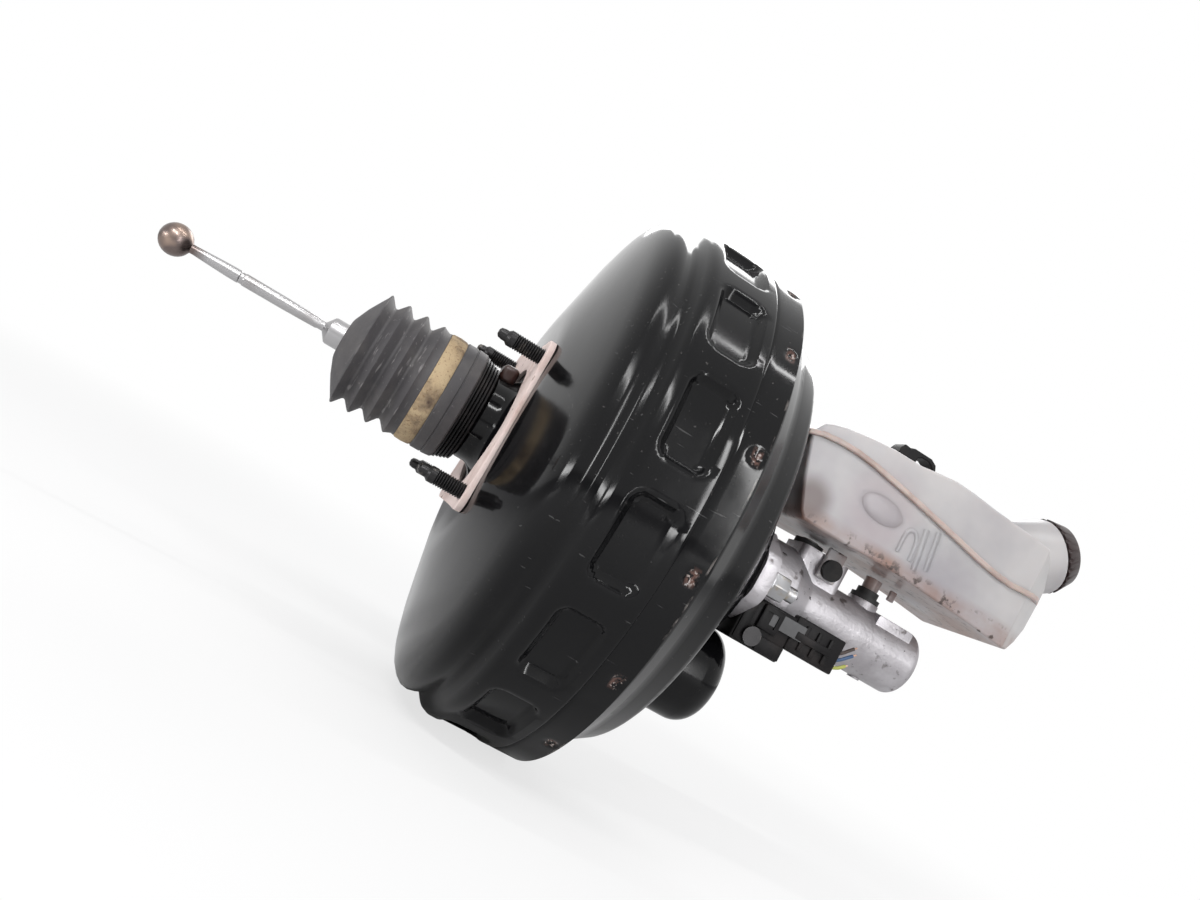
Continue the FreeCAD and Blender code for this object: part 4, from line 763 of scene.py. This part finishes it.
# %% Dust boot
ridges = [-76.1, -66.4, -56.7, -47.0]
outside = [(-86, 7.3), (-86, 9.8), (-85.7, 11.0), (-84.6, 13.6), (-82.6, 18.4), (-79.6, 24.0),
           (-77.0, 28.6), (-76.6, 29.8), (-76.1, 30.3), (-75.4, 29.8)]
for x in ridges[1:]:
    outside += [(x - 5.9, 25.9), (x - 5.0, 25.4), (x - 4.2, 25.7), (x - 0.9, 29.7), (x, 30.3),
                (x + 0.8, 29.8)]
outside += [(-43.4, 28.6), (-42.2, 28.9), (-42.0, 28.6)]
inside = [(-42.0, 18.7), (-43.8, 18.7), (-43.8, 26.2)]
for x in reversed(ridges[1:]):
    inside += [(x, 28.2), (x - 4.9, 23.6)]
inside += [(ridges[0], 27.6), (-80.4, 19.4), (-83.2, 11.0), (-83.4, 7.3), (-86, 7.3)]
boot = lathe("ribbed_boot", outside + inside, steps=120, angle=50)
dress(boot_rubber, boot)
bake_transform(boot)
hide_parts("dust_boot")

# %% [markdown]
# ## Filter ring, collar and clip ring
# Behind the boot come the foam ring, which bulges slightly, the smooth rubber collar with
# a parting line, and the ribbed plastic ring that holds them on the neck.

# %% Rings on the neck
foam = lathe("foam_ring", [(-42, 18.7), (-42, 28.8), (-41.2, 29.3), (-37.5, 29.55), (-33.8, 29.2),
                           (-33, 28.6), (-33, 18.7), (-42, 18.7)], steps=120, angle=50)
fit(foam, "housing", filter_foam, "filter_ring", slot="foam")
collar = lathe("rubber_collar", [(-33, 18.7), (-33, 28.7), (-32.3, 29.4), (-27.4, 29.4),
                                 (-27.1, 29.0), (-26.7, 29.0), (-26.4, 29.5), (-21.8, 29.1),
                                 (-21, 28.4), (-21, 18.7), (-33, 18.7)], steps=120, angle=30)
fit(collar, "housing", boot_rubber, "boot_collar", slot="rubber")
ring_line = [(-21, 18.7)]
for number, radius in enumerate((28.2, 27.4, 26.9, 26.2, 25.6)):
    x = -20.9 + number * 1.7
    ring_line += [(x, radius - 0.9), (x + 0.25, radius), (x + 1.05, radius),
                  (x + 1.3, radius - 0.9)]
ring_line += [(-12.5, 24.4), (-12.5, 18.7), (-21, 18.7)]
clip_ring = lathe("ribbed_clip_ring", ring_line, steps=120, angle=30)
fit(clip_ring, "housing", black_plastic, "retainer_ring", slot="black_plastic")
lug = block("neck_lug_rounded", (-12.3, -7.4, 21.0), (-3.4, 7.4, 30.4))
soften(lug, 2.6, 4)
fit(lug, "housing", lug_plastic, "neck_lug", slot="black_plastic")

# %% [markdown]
# ## Gasket
# The pale gasket lies flat at its four studs and bows towards the shell between them. A
# merged copy of the solid is cut across by bisects, so that it has points to bow with,
# and its rear face then sinks between the corners.

# %% Gasket
def merged_copy(node, name):
    """A copy of a node of the frame, its loose triangles merged to one skin."""
    only(nodes[node])
    bpy.ops.object.duplicate()
    piece = bpy.context.object
    piece.name = name
    for key in list(piece.keys()):
        if key.startswith("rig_"):
            del piece[key]
    bpy.ops.object.mode_set(mode="EDIT")
    bpy.ops.mesh.select_all(action="SELECT")
    bpy.ops.mesh.remove_doubles(threshold=0.00002)
    bpy.ops.mesh.dissolve_limited(angle_limit=math.radians(1.0))
    bpy.ops.object.mode_set(mode="OBJECT")
    return piece


BOW, BOW_HEIGHT, BOW_WIDTH = 1.3, 32, 38
gasket = merged_copy("mounting_gasket", "bowed_gasket")
only(gasket)
bpy.ops.object.mode_set(mode="EDIT")
for axis, reach in (((0, 1, 0), 54), ((0, 0, 1), 45)):
    for share in range(-9, 10):
        bpy.ops.mesh.select_all(action="SELECT")
        middle = Vector(axis) * (share * reach / 10 * MM)
        bpy.ops.mesh.bisect(plane_co=middle, plane_no=axis)
bpy.ops.object.mode_set(mode="OBJECT")
for vertex in gasket.data.vertices:
    if vertex.co.x < -0.0015:
        level = max(0.0, 1 - abs(vertex.co.z) / (BOW_HEIGHT * MM))
        width = max(0.0, 1 - abs(vertex.co.y) / (BOW_WIDTH * MM))
        vertex.co.x += BOW * MM * max(level, width) ** 0.6
soften(gasket, 0.45, 2, 50)
fit(gasket, "housing", gasket_foam, "mounting_gasket", slot="gasket")

# %% [markdown]
# ## Studs and nuts
# A thread is drawn as a stack of ridges one thread pitch apart. All four studs are spun
# with that outline and with the pointed pilot that guides them through the bulkhead.

# %% Bulkhead studs
THREAD_PITCH = 1.25
stud_line = [(-26, 0), (-26, 1.2), (-25.2, 2.3), (-23.4, 2.75), (-21.6, 2.75), (-20.9, 3.3),
             (-20.2, 3.9), (-17.2, 3.9)]
x = -17.0
while x < -1.2:
    stud_line += [(x, 3.35), (x + 0.45, 3.98), (x + 0.72, 3.98)]
    x += THREAD_PITCH
stud_line += [(-0.6, 3.9), (1.8, 3.9), (1.8, 6.9), (4.2, 6.9), (4.3, 6.6), (4.3, 0)]
studs = []
for y in (-45, 45):
    for z in (-36, 36):
        studs.append(lathe("stud", stud_line, (0, y * MM, z * MM), steps=32, angle=30))
fit(join("threaded_studs", studs), "housing", black_zinc, "mounting_studs", slot="zinc_steel")

# %% [markdown]
# The two flange nuts of the master cylinder are a collar with a chamfered hexagon.

# %% Flange nuts
nuts = []
for y in (-38, 38):
    washer = lathe("nut_collar", [(150, 4.1), (150, 9.2), (150.6, 9.5), (151.6, 9.5), (152.6, 7.6),
                                  (152.6, 4.1), (150, 4.1)], (0, y * MM, 0), steps=48)
    bpy.ops.mesh.primitive_cylinder_add(vertices=6, radius=7.4 * MM, depth=9.6 * MM,
                                        location=(157.2 * MM, y * MM, 0),
                                        rotation=(0, math.pi / 2, 0))
    hexagon = bpy.context.object
    bpy.ops.object.transform_apply(location=True, rotation=True, scale=True)
    soften(hexagon, 0.7, 2)
    nuts += [washer, hexagon]
fit(join("hexagon_nuts", nuts), "housing", plated, "flange_nuts", slot="zinc_steel")

# %% [markdown]
# ## Push rod
# A drop-forged rod with a bearing-smooth ball. The outline runs from the ball's pole,
# through the thin neck and the slim shank, to the collar that the boot grips.

# %% Push rod
BALL_X, BALL_RADIUS = -174.1, 8
rod_line = []
for step in range(15):
    turn = math.radians(180 - step * 11.2)
    rod_line.append((BALL_X + BALL_RADIUS * math.cos(turn),
                     max(0.0, BALL_RADIUS * math.sin(turn))))
rod_line += [(-166.2, 2.3), (-164.5, 2.25), (-155, 2.75), (-146.3, 3.1), (-141.5, 3.15),
             (-141.0, 2.8), (-139.4, 2.8), (-138.9, 3.15), (-118, 3.1), (-100.2, 2.75),
             (-99.2, 2.4), (-96.6, 2.4), (-95.0, 4.6), (-93.6, 6.6), (-92.6, 7.0), (-83, 7.0),
             (-83, 5.0), (-27, 5.0), (-22, 2.4), (-17, 2.4), (-15.5, 4.3), (-13, 4.6),
             (-10.2, 3.6), (-8.4, 0)]
rod = lathe("forged_push_rod", rod_line, steps=72, angle=30)
fit(rod, "input_rod", ground_steel, "push_rod", slot="polished_steel")

# %% [markdown]
# ## Master cylinder
# The casting keeps its solid, whose shape is right. A merged copy gets its edges rolled
# by a bevel, because sand-cast corners are never sharp.

# %% Master cylinder
def rolled_copy(node, name, width, limit=35, segments=2):
    """A merged copy of a node of the frame with its edges rolled."""
    return soften(merged_copy(node, name), width, segments, limit)


casting = rolled_copy("master_cylinder", "cast_cylinder", 0.8)
fit(casting, "housing", cast_alloy, "master_cylinder", slot="cast_alloy")

# %% [markdown]
# ## Reservoir
# Two mouldings welded along a sloping seam. Each is its side view pulled across the
# width, with its long edges rolled by a wide bevel. Behind the shoulder near the filler
# neck the sides draw in towards the end.

# %% Reservoir halves
TANK_HALF = 40
SHOULDER_X, SHOULDER_RUN = 285, 22.5
SEAM = [(131.5, 75.6), (140, 78.1), (150, 79.3), (160, 79.6), (172, 78.6), (188, 76.3),
        (203, 74.0), (218, 71.4), (233, 68.8), (248, 66.0), (260, 64.2), (272, 63.5),
        (286, 64.6), (298, 66.2), (310.4, 67.6)]


def seam_height(x):
    for (x0, z0), (x1, z1) in zip(SEAM, SEAM[1:]):
        if x <= x1:
            return z0 + (z1 - z0) * (x - x0) / (x1 - x0)
    return SEAM[-1][1]


inner_seam = [(134, seam_height(134))] + SEAM[1:-1] + [(307.5, seam_height(307.5))]
lower_side = [(142, 54), (148.5, 39.5), (152, 36), (176, 36), (204, 37.2), (232, 36), (262, 34.4),
              (286, 32.4), (293, 33.6), (300, 40), (306, 50)]
upper_side = [(138.5, 83.4), (143, 85.6), (150, 87.6), (163, 89.8), (178, 91.6), (196, 92.0),
              (206, 93.6), (218, 95.2), (230, 94.9), (246, 93.6), (270, 92.6), (284, 91.6),
              (296, 86), (307.5, 75.5)]


def tank_half(name, side):
    piece = extruded(name, side, -TANK_HALF, TANK_HALF)
    only(piece)
    bpy.ops.object.mode_set(mode="EDIT")
    for y in (-16, 16):
        bpy.ops.mesh.select_all(action="SELECT")
        bpy.ops.mesh.bisect(plane_co=(0, y * MM, 0), plane_no=(0, 1, 0))
    bpy.ops.mesh.select_all(action="SELECT")
    bpy.ops.mesh.bisect(plane_co=(SHOULDER_X * MM, 0, 0), plane_no=(1, 0, 0))
    bpy.ops.object.mode_set(mode="OBJECT")
    for vertex in piece.data.vertices:
        past = vertex.co.x / MM - SHOULDER_X
        if past > 0 and abs(vertex.co.y) > 0.030:
            vertex.co.y *= 1 - 0.50 * min(1, past / SHOULDER_RUN)
    return soften(piece, 5.0, 5, 32)


tank_low = tank_half("tank_lower", inner_seam[::-1] + lower_side)
tank_high = tank_half("tank_upper", inner_seam[::-1] + upper_side)

# %% [markdown]
# The weld flange is a thin strip that follows the arched seam: its side view is pulled
# across the whole width and its front corners are cut back to the tank's plan. The neck
# is spun round its own slanted axis, and the two moulded legs and pin ears hang from the
# floor.

# %% Weld flange, neck, legs and ears
FLANGE_HALF, CORNER_X = 42.5, 286
strip = [(x, z - 1.5) for x, z in SEAM] + [(x, z + 1.5) for x, z in reversed(SEAM)]
flange = extruded("weld_flange", strip, -FLANGE_HALF, FLANGE_HALF)
only(flange)
bpy.ops.object.mode_set(mode="EDIT")
for x in (CORNER_X, 292, 298, 304):
    bpy.ops.mesh.select_all(action="SELECT")
    bpy.ops.mesh.bisect(plane_co=(x * MM, 0, 0), plane_no=(1, 0, 0))
bpy.ops.object.mode_set(mode="OBJECT")
for vertex in flange.data.vertices:
    past = vertex.co.x / MM - CORNER_X
    if past > 0:
        half = FLANGE_HALF - past ** 1.25 * 0.49
        vertex.co.y = math.copysign(half * MM, vertex.co.y)
soften(flange, 0.8, 2)
TILT = math.radians(31)
CAP_BASE = (312.5 * MM, 0, 97.3 * MM)
CAP_AXIS = (math.cos(TILT), 0, math.sin(TILT))
neck_line = [(-30, 14), (-30, 19.6), (-27, 21.2), (-3.0, 21.4), (-1.2, 20.9), (-0.3, 19.8),
             (-0.3, 16.3), (4, 16.3), (4, 14.1), (-30, 14.0)]
neck = lathe("filler_neck", neck_line, CAP_BASE, CAP_AXIS, steps=72)
legs = []
for x, foot in ((179.5, 23.2), (224, 17.8)):
    legs.append(lathe("leg", [(foot, 0), (foot, 4.4), (33.8, 4.8), (34.5, 0)], (x * MM, 0, 0),
                      (0, 0, 1), steps=40))
ears = []
for near, far in ((-16.2, -13.4), (13.4, 16.2)):
    ears.append(soften(block("ear", (184.3, near, 17.3), (195.7, far, 34.6)), 1.0, 3))
rib = block("floor_rib", (236, -1.2, 27.5), (240, 1.2, 33.5))
ears.append(soften(rib, 0.5, 2))

# %% [markdown]
# The near wall carries low moulded relief: an oval pad, an arch, and two faint lines where
# baffles meet the wall inside. The pad is a flattened sphere sunk in the wall, and each rib
# is a tube of which only the crest stands proud. The halves are then joined up.

# %% Relief on the near wall
PAD_HALF_SIZES = (15.5 * MM, 2.2 * MM, 8.0 * MM)
PAD_PLACE = (0.1875, -0.0388, 0.0612)


def rail(name, places, radius, proud):
    """A low rounded rib on the near wall through places given in mm as (x, z)."""
    depth = -(TANK_HALF + proud - radius)
    return tube(name, [(x, depth, z) for x, z in places], radius, 5)


bpy.ops.object.select_all(action="DESELECT")
bpy.ops.mesh.primitive_uv_sphere_add(segments=64, ring_count=32, radius=1, location=(0, 0, 0))
pad = bpy.context.object
pad.name = "blank_pad"
pad.scale = PAD_HALF_SIZES
pad.rotation_euler = (0, math.radians(4.4), 0)
pad.location = PAD_PLACE
bpy.ops.object.transform_apply(location=True, rotation=True, scale=True)
bpy.ops.object.shade_smooth()
arch = [(205.6, 47), (205.2, 54), (205.8, 59.5), (209, 61), (212.4, 58.5), (213.8, 52),
        (214.0, 46)]
rails = [pad, rail("arch_rib", arch, 2.2, 0.5),
         rail("baffle_line", [(218.6, 43), (217.0, 54), (214.9, 65)], 4.0, 0.4),
         rail("second_baffle_line", [(225.0, 46), (223.4, 58), (221.8, 67)], 4.0, 0.35)]
lower_tank = join("reservoir_bottom", [tank_low, *legs, *ears, *rails])
fit(lower_tank, "housing", milky, "reservoir_lower", slot="clear_tank")
dress(milky, tank_high, neck)
dress(weld_stain, flange)
upper_tank = join("reservoir_top", [tank_high, neck, flange])
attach(upper_tank, "housing")
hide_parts("reservoir_upper")

# %% [markdown]
# The cap is a tapered drum with scallops for the fingers. Its solid has that shape, so a
# merged copy of it gets rolled edges and turns with the cap's own body.

# %% Cap
cap = rolled_copy("reservoir_cap", "scalloped_cap", 0.5, 30)
fit(cap, "cap", cap_plastic, "reservoir_cap", slot="black_plastic")

# %% [markdown]
# A black hose clip sits on the roof: a foot, a stem and a hooked arm.

# %% Hose clip on the roof
clip_side = [(197.6, 93.4), (213.9, 94.6), (213.9, 97), (209.6, 99), (209.8, 103.4), (212, 104.8),
             (216.4, 104.9), (219.0, 103.6), (221.4, 101.4), (222.9, 102.4), (221.4, 105.4),
             (217.6, 107.3), (206, 107.3), (203, 106.2), (199.4, 106.6), (197.8, 103.6)]
hook = extruded("hose_clip_arm", clip_side, -5.9, 5.9)
soften(hook, 0.6, 2)
fit(hook, "housing", black_plastic, "hose_clip", slot="black_plastic")

# %% [markdown]
# ## Sensor, plug and cut wires
# The sensor is a moulded block with a stepped side, a latch window and a ribbed plug.

# %% Sensor and plug
casing = rolled_copy("sensor_body", "sensor_casing", 0.9)
extras = [soften(block("latch_frame", (160, -33.4, -22), (172, -30.8, -9)), 0.6, 2),
          soften(block("side_rib", (151.5, -32.2, -32), (157, -30.8, -12)), 0.5, 2),
          soften(block("base_step", (165, -32.0, -32.6), (180, -30.6, -25)), 0.5, 2)]
window = block("latch_window", (162.5, -34.4, -19.5), (169.5, -32.4, -12))
cut = extras[0].modifiers.new("window", "BOOLEAN")
cut.object = window
only(extras[0])
bpy.ops.object.modifier_apply(modifier=cut.name)
bpy.data.objects.remove(window)
fit(join("sensor_casing", [casing, *extras]), "housing", black_plastic, "sensor_body",
    slot="black_plastic")
plug = rolled_copy("connector_plug", "plug_casing", 0.9)
ribs = []
for number in range(3):
    x = 186 + number * 7.5
    ribs.append(soften(block("grip_rib", (x, -32.4, -22.5), (x + 2.4, -30.8, -8.5)), 0.5, 2))
ribs.append(soften(block("locking_tab", (182, -33, -17.6), (204, -31, -13.4)), 0.6, 2))
fit(join("plug_casing", [plug, *ribs]), "housing", black_plastic, "connector_plug",
    slot="black_plastic")

# %% [markdown]
# The screw has a domed head with a hexagon socket, and the wires were cut short: bright
# covers with bare copper ends, each one bent a little differently.

# %% Screw and wires
dress(black_zinc, "sensor_screw")

wire_finishes = []
for name, colour in (("wire_yellow_green", (0.34, 0.36, 0.07)), ("wire_blue", (0.035, 0.08, 0.17)),
                     ("wire_brown", (0.05, 0.035, 0.03))):
    cover = finish(name, colour, 0.4)
    tint(cover, ramp(cover, noise(cover, 300, 3), 0.55, 0.75), tuple(c * 0.6 for c in colour))
    wire_finishes.append(cover)
copper = finish("bare_copper", (0.62, 0.40, 0.30), 0.3, 1.0)
mottle(copper, 900, 3, 0.5, 0.7, (0.5, 0.22, 0.12))
routes = (((210.6, -27, -21), (213.6, -27, -20.0), (216, -26.4, -18.4), (218.0, -26, -16.8)),
          ((210.6, -27, -17), (213, -26.6, -15.6), (216.5, -25.9, -12.8), (219.6, -25.2, -10.2)),
          ((210.6, -27, -13), (213, -26.5, -11.6), (216, -25.6, -8.8), (218.6, -25.0, -6.6)))
for number, route in enumerate(routes):
    for part, radius, made in (("cover", 0.95, wire_finishes[number]), ("core", 0.5, copper)):
        places = route
        if part == "core":
            bend, end = route[2], route[3]
            places = (bend, end, tuple(b + (b - a) * 0.55 for a, b in zip(bend, end)))
        wire = tube("wire_%s_%d" % (part, number), places, radius, 4)
        if number == 0 and part == "cover":
            fit(wire, "housing", made, "wire_stubs", slot="wire_cover")
        else:
            fit(wire, "housing", made)

# %% [markdown]
# ## Springs and diaphragm
# Inside, springs close up and the diaphragm rolls as the pistons travel. The record says
# which end of each spring stays put; each spring listed here is replaced by a merged copy in
# spring wire that rides on its body. The diaphragm is clamped to the shell at its bead and
# rides on the plate at its middle; a merged copy of it stands in its place, left on no body.
# What each spring closes by, in millimetres, is the difference in travel between its two ends.

# %% Springs and diaphragm
closing = {"valve_spring": 2.0, "return_spring": 30.0, "primary_spring": 16.0,
           "secondary_spring": 14.0, "check_valve_spring": 1.5}
for joint in frame["record"]["behaviour"]["joints"]:
    for soft in joint.get("deforming_nodes", []):
        name, fixed = soft["node"], soft["fixed_end_x_m"]
        if name not in closing:
            continue
        coil = merged_copy(name, name + "_coil")
        bpy.ops.object.shade_smooth_by_angle(angle=math.radians(40))
        fit(coil, nodes[name]["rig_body"], spring_wire, name, slot="spring_steel")
        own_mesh(coil)
rolling = merged_copy("diaphragm", "rolling_diaphragm")
bpy.ops.object.shade_smooth_by_angle(angle=math.radians(40))
dress(hidden_rubber, rolling)
bpy.ops.object.parent_clear(type="CLEAR_KEEP_TRANSFORM")
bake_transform(rolling)
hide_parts("diaphragm")

# %% [markdown]
# ## View transform
# The scene's colours are shown through the Standard view transform.

# %% View transform
bpy.context.scene.view_settings.view_transform = "Standard"
